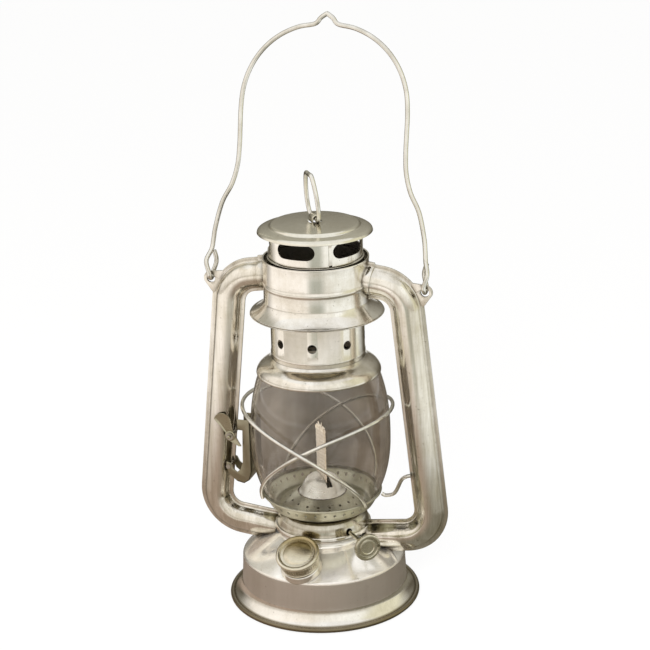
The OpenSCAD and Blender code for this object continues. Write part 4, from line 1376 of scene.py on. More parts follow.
@dataclass
class Hood:
    """Hood between the tubes, and the spring inside it."""

    radius: float = 31.0
    brim_r: float = 39.4
    brim_z: float = 180.5
    flare: float = 1.8
    flare_z: float = 189.0
    bead_z: float = 198.5
    top: float = 214.0
    wall: float = 0.8
    spring_r: float = 28.75
    spring_d: float = 1.1
    spring_low: float = 183.75
    spring_mid: float = 193.75
    spring_high: float = 208.35
    low_curls: int = 2
    high_curls: int = 3
    curl_steps: int = 40
    globe_travel: float = 12.0
    chimney_travel: float = 8.0

    def shell(self) -> None:
        """Spun hood with a flared brim, a pressed bead and a turned upper edge."""
        r, z, brim, low = self.radius, self.bead_z, self.brim_r, self.brim_z
        line = [(brim - 1.0, low + 0.3), (brim - 0.4, low - 0.4), (brim + 0.1, low)]
        for t in (i / 12 for i in range(1, 13)):
            line.append((r + (brim - r) * (1 - t) ** self.flare, low + (self.flare_z - low) * t))
        bead = ((0, -2.0), (0.1, -1.4), (0.45, -0.8), (0.6, 0), (0.45, 0.8), (0.1, 1.4), (0, 2.0))
        line += [(r + out, z + rise) for out, rise in bead]
        line += [(r, self.top - 1.2), (r + 0.15, self.top - 0.5), (r, self.top)]
        shell = Bench.turn("hood_sheet", line, self.wall, 128)
        dress(Bench.soften(shell, 0, 60), HOOD_TIN, Body.FRAME, Slot.TIN, "hood")

    def curl(self, name: str, low: float, high: float, turns: int) -> Piece:
        """Stretch of the spring's wire.

        Args:
            name: the piece's name.
            low: height of its lower end.
            high: height of its upper end.
            turns: number of turns in it.

        Returns:
            The new piece.
        """
        points, r, last = [], self.spring_r, turns * self.curl_steps
        for i in range(last + 1):
            a = math.tau * i / self.curl_steps
            points.append((r * math.cos(a), r * math.sin(a), low + (high - low) * i / last))
        return Bench.soften(Bench.wire(name, points, self.spring_d / 2))

    def spring(self) -> None:
        """Spring over the chimney in two stretches: the upper turns ride on the frame, the lower ones on the
        globe carrier.
        """
        upper = self.curl("spring_wire", self.spring_mid, self.spring_high, self.high_curls)
        dress(upper, STEEL, Body.FRAME, Slot.STEEL, "chimney_spring")
        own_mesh(upper)
        lower = self.curl("spring_wire_low", self.spring_low, self.spring_mid, self.low_curls)
        dress(lower, STEEL, Body.CARRIER, Slot.STEEL)
        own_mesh(lower)

    def build(self) -> None:
        """Model the hood and its spring."""
        self.shell()
        self.spring()


@dataclass
class Burner:
    """Cup-shaped base, bell, dome, wick and knob."""

    bearing: float = -47.0
    wall: float = 0.8
    bell_r: float = 28.6
    rim_low: float = 43.99
    rim_high: float = 46.99
    bell_top: float = 58.0
    sleeve_r: float = 13.3
    sleeve_top: float = 69.0
    dome_top: float = 78.1
    dome_wall: float = 0.6
    dome_slot: Flat = (22.0, 3.6)
    wick_slot: Flat = (13.9, 3.9)
    spindle_off: float = 4.15
    spindle_z: float = 48.59
    spindle_r: float = 1.2
    knob_r: float = 8.2
    knob_reach: float = 52.5
    knob_t: float = 2.6
    knob_steps: int = 96
    rib_pitch: int = 2
    rib_share: float = 0.965
    wick_w: float = 12.0
    wick_t: float = 2.0
    wick_low: float = 44.79
    wick_top: float = 107.0
    frays: int = 26
    hairs: int = 44
    tank_floor: float = 14.7
    tail_bend: float = 7.0
    slide: float = 28.0

    @property
    def turned(self) -> Matrix:
        """Turn that brings X along the wick's width and the spindle."""
        return rotated(self.bearing, "Z")

    @property
    def spindle(self) -> Matrix:
        """Place of the spindle, its own Z outwards along it."""
        return self.turned @ shifted(0, self.spindle_off, self.spindle_z) @ rotated(90, "Y")

    def base(self) -> None:
        """Shallow cup on the boss, with a rounded rim under the bell."""
        low, high, r = self.rim_low, self.rim_high, self.bell_r + 0.4
        line = [(0, low), (19, low), (19, low - 4), (19.9, low - 4), (19.9, low), (r - 0.4, low)]
        line += [(r, low + 0.4), (r, high - 0.4), (r - 0.3, high), (r - 1.2, high)]
        line += [(r - 1.2, low + self.wall), (0, low + self.wall)]
        cup = Bench.turn("burner_cup", line, 0, 112)
        Bench.cut(cup, Bench.box("wick_cutter", (*self.wick_slot, 30), self.turned @ shifted(0, 0, low)))
        dress(Bench.soften(cup), TIN, Body.FRAME, Slot.FITTINGS, "burner_base")

    def bell(self) -> None:
        """Bell with a sleeve, and a keyhole slot for the spindle."""
        r, top, rise = self.bell_r, self.bell_top, self.bell_top - self.rim_high
        knots = [(0.6, 0), (1.0, 0.12), (1.4, 0.3), (2.0, 0.5), (3.4, 0.7), (6.2, 0.87), (9.6, 0.97)]
        line = Line.smooth([(r - d, self.rim_high + rise * share) for d, share in knots], 3)
        line += [(r - 11.4, top), (self.sleeve_r + 0.7, top)]
        line += [(self.sleeve_r, top + 0.6), (self.sleeve_r, self.sleeve_top - 2.6)]
        bell = Bench.turn("burner_bell_sheet", line, self.wall, 112)
        width = 2 * self.spindle_r + 0.8
        slot = self.turned @ shifted(25, self.spindle_off, self.spindle_z - 3)
        Bench.cut(bell, Bench.box("slot_cutter", (20, width, 6), slot))
        Bench.cut(bell, Bench.rod("eye_cutter", width / 2 + 0.5, 20, self.spindle @ shifted(0, 0, 25)))
        dress(Bench.soften(bell), BELL_TIN, Body.FRAME, Slot.TIN, "burner_bell")

    def dome(self) -> None:
        """Domed flame spreader with hollow flanks and a slot for the wick."""
        low = self.sleeve_top - 2.5
        knots = [(14.1, 0), (13.7, 0.5), (12.9, 1.4), (12.2, 3), (11.4, 5), (10.2, 7), (8.2, 9)]
        knots += [(5.2, 10.6), (2, 11.4)]
        line = [*Line.smooth([(r, low + rise) for r, rise in knots], 3), (0, self.dome_top)]
        dome = Bench.turn("burner_dome_sheet", line, self.dome_wall)
        slot = self.turned @ shifted(0, 0, self.dome_top)
        Bench.cut(dome, Bench.box("dome_cutter", (*self.dome_slot, 17), slot))
        dress(Bench.soften(dome), DOME_TIN, Body.FRAME, Slot.TIN, "burner_dome")

    def knob(self) -> None:
        """Turned knob with a milled edge, a ringed face and a small eye."""
        r, face, back = self.knob_r, self.knob_reach, self.knob_reach - self.knob_t
        line = [(0, face - 1.2), (1.25, face - 1.2), (1.25, back - 6), (2.2, back - 6), (2.6, back - 5.6)]
        line += [(2.6, back - 0.4), (3.2, back), (r - 0.7, back), (r - 0.2, back + 0.25), (r, back + 0.6)]
        line += [(r, face - 0.6), (r - 0.2, face - 0.2), (r - 0.7, face)]
        rings = ((0.8, 0.05), (0.75, 0.7), (0.66, 0.8), (0.61, 0.3), (0.5, 0.2), (0.45, 0.65), (0.38, 0.7))
        line += [(r * share, face - deep) for share, deep in rings]
        line += [(0, face - 0.6)]
        knob = Bench.turn("knob_turning", line, 0, self.knob_steps)
        Bench.knurl(knob, self.knob_steps, self.rib_pitch, self.rib_share, r - 0.1, (back, face))
        Bench.cut(knob, Bench.rod("knob_cutter", 0.8, 12, shifted(0, r * 0.82, face), 20))
        Bench.place(Bench.soften(knob), self.spindle)
        dress(knob, WORN, Body.KNOB, Slot.FITTINGS, "wick_knob")

    def strip(self, height: float) -> Piece:
        """Flat woven strip of the wick, thinner and wavy at its edges.

        Args:
            height: its length.

        Returns:
            The new piece.
        """
        middle = shifted(0, 0, self.wick_low + height / 2)
        strip = Bench.box("wick_strip", (self.wick_w - 0.5, self.wick_t - 0.4, height), middle)
        with Bench.editing(strip):
            bpy.ops.mesh.subdivide(number_cuts=15)
        for vertex in strip.data.vertices:
            x, y, z = vertex.co / MM
            ripple = 0.14 * math.sin(2.6 * x) * math.sin(1.7 * z) * math.copysign(1, y)
            edge = 0.22 * math.sin(2.3 * z) * x / self.wick_w
            flat = 1 - 0.5 * (2 * x / self.wick_w) ** 4
            vertex.co = Vector((x + edge, y * flat + ripple, z)) * MM
        return Bench.soften(strip)

    def threads(self, top: float) -> list[Piece]:
        """Frayed ends, loose threads and fuzz of the wick.

        Args:
            top: height where the strip ends.

        Returns:
            The threads.
        """
        made = []
        last = self.frays - 1
        for i in range(self.frays):
            u = -5.6 + 11.2 * ((i * 7) % self.frays) / last
            lean = 1.5 * math.sin(i * 2.4)
            rise = 0.7 + 1.3 * abs(math.sin(i * 1.7))
            points = [(u, 0.6 * math.cos(i), top - 1.5)]
            points.append((u + 0.3 * lean, 0.7 * math.cos(i), top + 0.3 * rise))
            points.append((u + 0.8 * lean, 0.9 * math.cos(i * 1.3), top + rise))
            made.append(Bench.wire(f"fray_{i}", Line.smooth(points, 3), 0.34))
        for i, (reach, rise) in enumerate(((-3.8, -1.6), (-2.6, 2.9), (0.4, 3.6), (2.2, 1.9))):
            u = reach * 0.9 - 1.2
            points = [(u * 0.8, 0.4, top - 2), (u, 0.6, top + 0.4)]
            points.append((u + 0.4 * reach, 0.9, top + 0.7 * rise))
            points.append((u + 0.7 * reach, 0.8, top + rise))
            made.append(Bench.wire(f"thread_{i}", Line.smooth(points, 4), 0.3))
        last = self.hairs - 1
        for i in range(self.hairs):
            u, face = -5.4 + 10.8 * ((i * 17) % self.hairs) / last, 1 if i % 2 else -1
            z = top - 0.6 - 26 * ((i * 29) % self.hairs) / last
            out = (0.8 if z > top - 3 else 0.42) * abs(math.sin(i * 2.1))
            drift = 0.8 * math.sin(i * 1.3)
            points = [(u, 0.5 * face, z), (u + 0.4 * drift, (0.7 + 0.6 * out) * face, z + 0.3 * drift)]
            points.append((u + drift, (0.7 + out) * face, z + drift))
            made.append(Bench.wire(f"fuzz_{i}", Line.smooth(points, 2), 0.17))
        return made

    def wick(self) -> None:
        """Flat woven wick, frayed at its top."""
        height = self.wick_top - self.wick_low - 1.0
        wick = Bench.join("wick_weave", [self.strip(height), *self.threads(self.wick_low + height)])
        Bench.place(wick, self.turned)
        dress(wick, COTTON, Body.WICK, Slot.COTTON, "wick")

    def tail(self) -> None:
        """Slack tail of the wick in the tank, bent over along its floor."""
        floor, top, bend = self.tank_floor + 0.2, self.wick_low - 0.2, self.tail_bend
        path = [(0.0, top - (top - floor - bend) * i / 10) for i in range(11)]
        path += Line.arc((-bend, floor + bend), bend, 0, -90, 8)[1:]
        path += [(-bend - 2.0 * i, floor + 0.2 * math.sin(2.0 * i)) for i in range(1, 5)]
        half_w, half_t = self.wick_w / 2 - 0.3, self.wick_t / 2 - 0.25
        ring = [(-half_w, -half_t), (half_w, -half_t), (half_w, half_t), (-half_w, half_t)]
        tail = Bench.loop("tail_weave", [(x, y, top) for x, y in ring])
        with Bench.editing(tail):
            for (y_here, z_here), (y_next, z_next) in pairwise(path):
                Bench.draw(Vector((0, y_next - y_here, z_next - z_here)) * MM)
                way = math.atan2(z_next - z_here, y_next - y_here)
                self.square_end(tail, Vector((0, y_next, z_next)) * MM, way, half_t * MM)
            Bench.mend(fill=True)
        Bench.place(Bench.soften(tail), self.turned)
        dress(tail, COTTON, Body.FRAME, Slot.COTTON, "wick_tail")
        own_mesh(tail)

    @staticmethod
    def square_end(piece: Piece, middle: Vector, way: float, half: float) -> None:
        """Set the selected end of a strip square to its way.

        Args:
            piece: the strip in edit mode.
            middle: the end's middle.
            way: bearing of the strip's way in the YZ plane, in radians.
            half: half the strip's thickness.
        """
        bpy.ops.object.mode_set(mode="OBJECT")
        out = Vector((0, math.sin(way), -math.cos(way))) * half
        for vertex in piece.data.vertices:
            if vertex.select:
                side = 1 if (vertex.co - middle).dot(out) > 0 else -1
                vertex.co = Vector((vertex.co.x, *(middle + out * side).yz))
        bpy.ops.object.mode_set(mode="EDIT")

    def build(self) -> None:
        """Model the burner from its base to its wick."""
        for make in (self.base, self.bell, self.dome, self.knob, self.wick, self.tail):
            make()


@dataclass
class GlobeCarrier:
    """Globe plate, guard wires, arms, lift band and glass globe."""

    plate_r: float = 36.1
    plate_wall: float = 0.7
    rim_z: float = 67.2
    plate_z: float = 58.4
    bead: float = 0.7
    rim_hole: float = 0.85
    rim_holes: int = 36
    cone_r: float = 14.5
    cone_h: float = 7.4
    cone_w: float = 11.5
    cone_hole: float = 0.8
    cone_holes: int = 18
    cone_rows: Flat = (19.1, 22.7)
    guard_d: float = 2.3
    guard_reach: float = 46.1
    left_top: float = 123.5
    right_top: float = 121.5
    globe_r: float = 41.8
    globe_mid: float = 103.0
    globe_low: Flat = (34.1, 66.5)
    globe_top: Flat = (34.1, 147.4)
    globe_full: float = 2.4
    glass_t: float = 1.8
    web_x: float = 42.6
    band_t: float = 0.8
    band_w: float = 12.6
    band_top: float = 109.6
    hook_z: float = 75.2
    pin: Flat = (57.4, 78.5)
    tubes: SideTubes = field(default_factory=SideTubes)

    def plate(self) -> None:
        """Pressed plate with a rolled rim, a ring of air holes and a pierced inner cone."""
        r, rim, low = self.plate_r, self.rim_z, self.plate_z
        knots = [(self.cone_r, low + self.cone_h), (20.3, low + 3.7), (25.6, low + 0.3), (27, low)]
        knots += [(29.2, low), (31, low + 1.2), (33.2, rim - 3.8)]
        line = [*Line.smooth(knots, 3), (r - 1.4, rim - 1.0)]
        line += Line.arc((r - self.bead, rim), self.bead, -120, 170, 12)
        plate = Bench.turn("globe_plate_pressing", line, self.plate_wall, 144)
        flank = 90 + math.degrees(math.atan2(2.2, 3.8))
        spot = shifted(33.4, 0, rim - 4.0) @ rotated(flank, "Y") @ Matrix.Diagonal((1.3, 1, 1, 1))
        hole = Bench.rod("hole_cutter", self.rim_hole, 5, spot, 16)
        Bench.cut(plate, Bench.round_copies(hole, self.rim_holes))
        fall = self.cone_h / self.cone_w
        slope = rotated(math.degrees(math.atan(fall)), "Y")
        for row, reach in enumerate(self.cone_rows):
            height = low + self.cone_h - (reach - self.cone_r) * fall
            spot = rotated(10 * row, "Z") @ shifted(reach, 0, height) @ slope
            hole = Bench.rod("cone_cutter", self.cone_hole, 5, spot, 16)
            Bench.cut(plate, Bench.round_copies(hole, self.cone_holes))
        dress(Bench.soften(plate), PLATE_TIN, Body.CARRIER, Slot.TIN, "globe_plate")

    def guard(self, side: Side, top: float, reach: float, ends: Flat) -> list[Place]:
        """Line of a guard wire, high on one side and down to the plate's rim on the other.

        Args:
            side: side where it is high.
            top: its greatest height.
            reach: its distance from the axis.
            ends: how far it goes round in front and behind.

        Returns:
            The wire's points.
        """
        low_r = self.plate_r + self.guard_d / 2 + 0.1
        points = []
        for t in (i / 48 for i in range(-48, 49)):
            turn = math.radians(t * (ends[0] if t < 0 else ends[1]))
            out = reach + (low_r - reach) * t**10
            z = top - (top - self.rim_z) * abs(t) ** 2.5
            points.append((side.value * out * math.cos(turn), out * math.sin(turn), z))
        return points

    def wires(self) -> None:
        """Two guard wires and the two arms of the carrier."""
        radius = self.guard_d / 2
        low_r = self.plate_r + radius + 0.1
        rim, end = self.rim_z, self.web_x - 0.05
        left = [(-low_r, 0, rim - 0.4), (-low_r - 1.2, 0, rim + 4), (2.4 - end, 0, rim + 8.8)]
        left += [(1.2 - end, 0, rim + 10), (-end, 0, rim + 10)]
        (top_x, top_z), (foot_x, foot_z) = self.tubes.top, self.tubes.low
        lean = (foot_x - top_x) / (top_z - foot_z)
        hook_x = top_x + (top_z - rim - 15) * lean - self.tubes.flange + 0.8
        hook_y = -self.tubes.flange_t - radius - 0.4
        right = [(low_r, 0, rim + 0.8), (low_r + 2.6, 0, rim - 0.2), (low_r + 8, 0, rim + 2)]
        right += [(hook_x - 6, hook_y / 2, rim + 11.2), (hook_x - 2.6, hook_y, rim + 14.2)]
        right += [(hook_x, hook_y, rim + 15)]
        inner_reach = self.guard_reach - self.guard_d - 0.5
        lines = {
            "outer_guard_wire": self.guard(Side.LEFT, self.left_top, self.guard_reach, (150, 138)),
            "inner_guard_wire": self.guard(Side.RIGHT, self.right_top, inner_reach, (145, 148)),
            "left_arm": Line.smooth(left, 6),
            "right_arm": Line.smooth(right, 6),
        }
        for node, points in lines.items():
            wire = Bench.soften(Bench.wire(node + "_bent", points, radius), 0, 60)
            dress(wire, WIRE, Body.CARRIER, Slot.TIN, node)

    def band(self) -> None:
        """Channel-shaped lift band: two cheeks and a web, with a hook round the tube's flange."""
        web, hook, top, half = self.web_x, self.hook_z, self.band_top, self.band_w / 2
        pin_x, pin_z = self.pin
        spine = [(-web, top), (-web, hook + 1), (-web - 1.6, hook - 4.6)]
        spine += [(-web - 5.2, hook - 7), (-web - 9.6, hook - 6)]
        claw = [(0.4, hook - 2 - pin_z), (-1.5, -0.5), (-1.2, 3), (1.4, 2), (3, hook + 2 - pin_z)]
        cheek = [(-50.9, top), *spine, *[(x - pin_x, z + pin_z) for x, z in claw], (-web - 9.4, hook)]
        cheek += [(-web - 7.2, hook + 2), (-48.2, hook + 7), (-47.6, 102.8), (-50.9, 102.8)]
        parts = []
        for side in Facing:
            outline = [(x, side.value * half, z) for x, z in cheek]
            thick = (0, -self.band_t * side.value, 0)
            parts.append(Bench.plate(f"cheek_{side.name.lower()}", outline, thick))
        inwards = [(-0.2, 0.78), (0.1, 0.79), (0.6, 0.5), (0.8, 0.1), (0.8, 0.0)]
        back = [(x - dx, z + dz) for (x, z), (dx, dz) in zip(reversed(spine), inwards)]
        outline = [(x, -half, z) for x, z in [*spine, *back]]
        parts.append(Bench.plate("web", outline, (0, self.band_w, 0)))
        band = Bench.soften(Bench.join("lift_band_pressing", parts), 0.2, 45)
        dress(band, DARKENED, Body.CARRIER, Slot.FITTINGS, "lift_band")

    def glass(self) -> None:
        """Blown globe with fire-polished edges."""
        r, mid, full = self.globe_r, self.globe_mid, self.globe_full
        (low_r, low), (top_r, top) = self.globe_low, self.globe_top
        line = []
        for t in (1 - i / 22 for i in range(22)):
            line.append((r - (r - low_r) * t**full, mid - (mid - low) * t))
        for t in (i / 24 for i in range(25)):
            line.append((r - (r - top_r) * t**full, mid + (top - mid) * t))
        globe = Bench.soften(Bench.turn("globe_glass", line, self.glass_t, 128), 0.5, 50, 3)
        dress(globe, GLASS, Body.CARRIER, Slot.GLASS, "globe")

    def build(self) -> None:
        """Model the carrier from its plate to its globe."""
        for make in (self.plate, self.wires, self.band, self.glass):
            make()


@dataclass
class LiftLever:
    """Thumb lever on a rivet through the left tube's flange."""

    rivet: Place = (-54.7, -7.9, 99.5)
    rivet_hole: float = 0.96
    hub_r: float = 3.2
    thick: float = 0.8
    rim: float = 0.7
    cup: float = 0.35

    def build(self) -> None:
        """Leaf-shaped pad with a hub, cupped for the thumb."""
        x0, y0, z0 = self.rivet
        leaf = [*Line.arc((-4.6, 8.6), 5.6, 165, 20, 14), (2.2, 2.4), (7, -6.1)]
        leaf += [(5.3, -6.3), (-1.2, -2.9), (-2.6, 1.4), (-6, 6)]
        pad = Bench.plate("lever_pad", [(x0 + x, y0, z0 + z) for x, z in leaf], (0, -self.thick, 0))
        with Bench.editing(pad):
            Bench.reselect(pad, lambda vertex: vertex.co.y < (y0 - self.thick / 2) * MM)
            bpy.ops.mesh.inset(thickness=self.rim * MM, depth=0)
            bpy.ops.transform.translate(value=(0, self.cup * MM, 0))
        hub_at = shifted(x0, y0 - self.thick / 2 - 0.05, z0) @ rotated(90, "X")
        hub = Bench.rod("lever_hub", self.hub_r, self.thick + 0.1, hub_at, 48)
        lever = Bench.join("lever_pressing", [pad, hub])
        Bench.cut(lever, Bench.rod("rivet_cutter", self.rivet_hole, 6, hub_at))
        dress(Bench.soften(lever, 0.2, 45), OLIVE, Body.LEVER, Slot.FITTINGS, "lift_lever")


@dataclass
class Chimney:
    """Crown, chimney tube, slotted neck, cap and lifting loop."""

    crown_r: float = 36.9
    crown_z: float = 144.2
    crown_top: float = 153.6
    tube_r: float = 27.6
    vent_z: float = 166.0
    vent_r: float = 2.7
    vents: int = 8
    vent_first: float = -79.4
    slot_z: float = 223.2
    slot_h: float = 8.8
    slots: int = 5
    slot_first: float = -98.0
    slot_span: float = 50.0
    seam: float = -54.5
    cap_r: float = 33.6
    cap_z: float = 229.2
    cap_peak: float = 235.0
    loop_d: float = 2.6
    loop_h: float = 28.5
    loop_half: float = 10.5
    loop_gap: float = 0.4
    loop_bearing: float = -55.0
    loop_lean: float = 6.0
    tab_w: float = 7.0
    wall: float = 0.8

    def crown(self) -> None:
        """Spun crown over the globe, with a curled rim."""
        r, z, top = self.crown_r, self.crown_z, self.crown_top
        knots = [(r - 0.2, z - 1), (r, z), (r - 0.5, z + 1.8), (r - 2.1, z + 4), (r - 4.9, z + 6)]
        knots += [(self.tube_r + 1.8, top - 1.8), (self.tube_r + 0.1, top)]
        line = [(r - 0.9, z - 0.9), (r - 0.6, z - 1.2), *Line.smooth(knots, 4)]
        crown = Bench.turn("crown_sheet", line, self.wall, 128)
        dress(Bench.soften(crown, 0, 60), CROWN_TIN, Body.CHIMNEY, Slot.TIN, "crown")

    def tube(self) -> None:
        """Chimney tube with a row of round holes, a pressed ring and long slots under the cap."""
        r, low, high = self.tube_r, self.crown_top - 3, self.cap_z + 2.6
        ring, bead = self.crown_top + 3, self.slot_z - self.slot_h / 2 - 5.0
        line = [(r, low), (r, ring - 1.2), (r + 0.35, ring - 0.5), (r + 0.35, ring + 0.5), (r, ring + 1.2)]
        line += [(r, bead - 0.9), (r + 0.7, bead - 0.4), (r + 0.8, bead), (r + 0.7, bead + 0.4)]
        line += [(r, bead + 0.9), (r, high)]
        tube = Bench.turn("chimney_tube_sheet", line, self.wall, 160)
        spot = rotated(self.vent_first, "Z") @ (shifted(r, 0, self.vent_z) @ rotated(90, "Y"))
        Bench.cut(tube, Bench.round_copies(Bench.rod("vent_cutter", self.vent_r, 8, spot, 40), self.vents))
        Bench.cut(tube, self.slot_cutter())
        neck = self.slot_z - self.slot_h
        middle = rotated(self.seam, "Z") @ shifted(r, 0, (neck + high) / 2)
        seam = Bench.box("seam", (0.4, 2.0, high - neck), middle)
        tube = Bench.join("chimney_tube_sheet", [Bench.soften(tube), Bench.soften(seam, 0.15)])
        dress(tube, PIPE_TIN, Body.CHIMNEY, Slot.TIN, "chimney_tube")

    def slot_cutter(self) -> Piece:
        """Cutter for the long slots, which have round ends.

        Returns:
            The new piece.
        """
        r, end, span = self.tube_r, self.slot_h / 2, math.radians(self.slot_span / 2)
        half = r * math.sin(span) - end
        outline = [*Line.arc((half, 0), end, -90, 90, 12), *Line.arc((-half, 0), end, 90, 270, 12)]
        reach = r * math.cos(span) - 2 * self.wall
        points = [(reach, y, self.slot_z + z) for y, z in outline]
        blank = Bench.plate("slot_blank", points, (r - reach + 2, 0, 0))
        return Bench.round_copies(Bench.place(blank, rotated(self.slot_first, "Z")), self.slots)

    def cap(self) -> None:
        """Shallow cap with a curled rim and a raised middle, and the tab that holds the loop."""
        r, z, peak = self.cap_r, self.cap_z, self.cap_peak
        dome = [(1, 0), (0.985, 0.2), (0.94, 0.36), (0.86, 0.47), (0.8, 0.55), (0.775, 0.7), (0.75, 0.8)]
        dome += [(0.7, 0.84), (0.5, 0.91), (0.26, 0.98)]
        line = [(r - 1.2, z + 0.2), (r - 0.6, z - 0.3)]
        line += [*Line.smooth([(r * a, z + (peak - z) * b) for a, b in dome], 4), (0, peak)]
        cap = Bench.turn("cap_sheet", line, self.wall, 128)
        turn = rotated(self.loop_bearing, "Z")
        Bench.cut(cap, Bench.box("window_cutter", (6.4, 7.6, 3), turn @ shifted(0, 0, peak)))
        arch, foot, inside = [], peak - 0.4, self.loop_d / 2 + self.loop_gap
        for radius, start, end in ((inside + self.wall, 0, 180), (inside, 180, 0)):
            way = 1 if start == 0 else -1
            bow = [(y, self.loop_z + rise) for y, rise in Line.arc((0, 0), radius, start, end, 16)]
            arch += [(way * radius, foot), *bow, (-way * radius, foot)]
        points = [(-self.tab_w / 2, y, rise) for y, rise in arch]
        tab = Bench.place(Bench.plate("tab", points, (self.tab_w, 0, 0)), turn)
        whole = Bench.join("chimney_cap_sheet", [Bench.soften(cap, 0, 60), Bench.soften(tab, 0.15)])
        dress(whole, CAP_TIN, Body.CHIMNEY, Slot.TIN, "chimney_cap")

    @property
    def loop_z(self) -> float:
        """Height of the loop's hinge line."""
        return self.cap_peak + self.loop_d / 2 + self.loop_gap

    def loop(self) -> None:
        """Wire loop that lifts the chimney."""
        w, h = self.loop_half, self.loop_h
        knots = [(0.3, 0), (0.31 * w, 0), (0.62 * w, 0), (0.92 * w, 0.11 * h), (w, 0.36 * h)]
        knots += [(0.84 * w, 0.66 * h), (0.5 * w, 0.9 * h), (0, h - self.loop_d)]
        half = Line.smooth([(x, 0, z) for x, z in knots], 7)
        loop = Bench.soften(Bench.wire("loop_bent", Line.mirrored(half), self.loop_d / 2), 0, 60)
        hinge = rotated(self.loop_bearing, "Z") @ shifted(0, 0, self.loop_z)
        Bench.place(loop, hinge @ rotated(self.loop_lean, "X"))
        dress(loop, WIRE, Body.LOOP, Slot.TIN, "lifting_loop")

    def build(self) -> None:
        """Model the chimney from its crown to its loop."""
        for make in (self.crown, self.tube, self.cap, self.loop):
            make()


@dataclass
class Bail:
    """Wire handle with an eye through each ear."""

    thick: float = 2.7
    half: float = 50.2
    side: float = 97.0
    peak: float = 5.6
    lean: float = 13.0
    full: float = 0.94
    hinge_z: float = 199.5
    ear_x: float = 65.2
    eye_r: float = 3.4
    skew: float = 1.8

    def build(self) -> None:
        """One length of wire: an eye, a kinked leg, the arch with its peak, and back."""
        e, x, s = self.eye_r, self.ear_x, self.skew
        eye = [(x - 0.3, 2.9, 13), (x - s, e + 0.4, 7)]
        eye += [(x, y, z) for y, z in Line.arc((0, 0), e, 0, -180, 4)]
        eye += [(x + s, -e - 0.4, 7), (x - 0.2, -0.6, 14), (x - 0.9, 0, 20)]
        leg = [(63.2, 28), (59.6, 42), (54, 53), (51, 64), (self.half, 75), (self.half, 86)]
        for c, t in Line.arc((0, 0), 1, 0, 72, 6):
            leg.append((self.half * c**self.full, self.side + self.half * t**self.full))
        top = self.side + self.half
        leg += [(7, top - 0.4), (3.6, top + 0.55 * self.peak), (0, top + self.peak)]
        half = Line.smooth([*eye, *[(px, 0, pz) for px, pz in leg]], 6)
        bail = Bench.soften(Bench.wire("bail_bent", Line.mirrored(half), self.thick / 2), 0, 60)
        Bench.place(bail, shifted(0, 0, self.hinge_z) @ rotated(-self.lean, "X"))
        dress(bail, WIRE, Body.BAIL, Slot.TIN, "bail")


@dataclass
class Carried:
    """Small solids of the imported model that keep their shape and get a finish."""

    finishes: dict[str, Finish] = field(
        default_factory=lambda: {
            "tank_floor": TIN,
            "guide_ring": YELLOWED,
            "wick_tube": YELLOWED,
            "spindle_brackets": YELLOWED,
            "spring_collar": YELLOWED,
            "lever_rivet": STEEL,
            "band_pin": STEEL,
            "wick_spindle": WORN,
            "feed_wheels": STEEL,
            "filler_gasket": CORK,
        }
    )

    def dress(self, nodes: dict[str, Piece]) -> None:
        """Set each node's material.

        Args:
            nodes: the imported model's nodes by name.
        """
        for name, finish in self.finishes.items():
            finish.coat(nodes[name])
            LOG.info("%s keeps its shape in %s", name, finish.name)


@dataclass(frozen=True)
class Lamp:
    """Soft square lamp aimed at the lantern's middle, in metres and watts.

    Attributes:
        name: its name.
        at: its place.
        size: its side.
        watts: its power.
        mirrored: whether bright metal and glass show it.
    """

    name: str
    at: Place
    size: float
    watts: float
    mirrored: bool = True

    def hang(self) -> None:
        """Put the lamp up."""
        bpy.ops.object.light_add(type="AREA", location=self.at)
        lamp = Bench.named(self.name)
        lamp.data.shape = "SQUARE"
        lamp.data.size = self.size
        lamp.data.energy = self.watts
        lamp.visible_glossy = self.mirrored
        lamp.visible_transmission = self.mirrored
        lamp.rotation_euler = (Vector((0, 0, 0.15)) - Vector(self.at)).to_track_quat("-Z", "Y").to_euler()


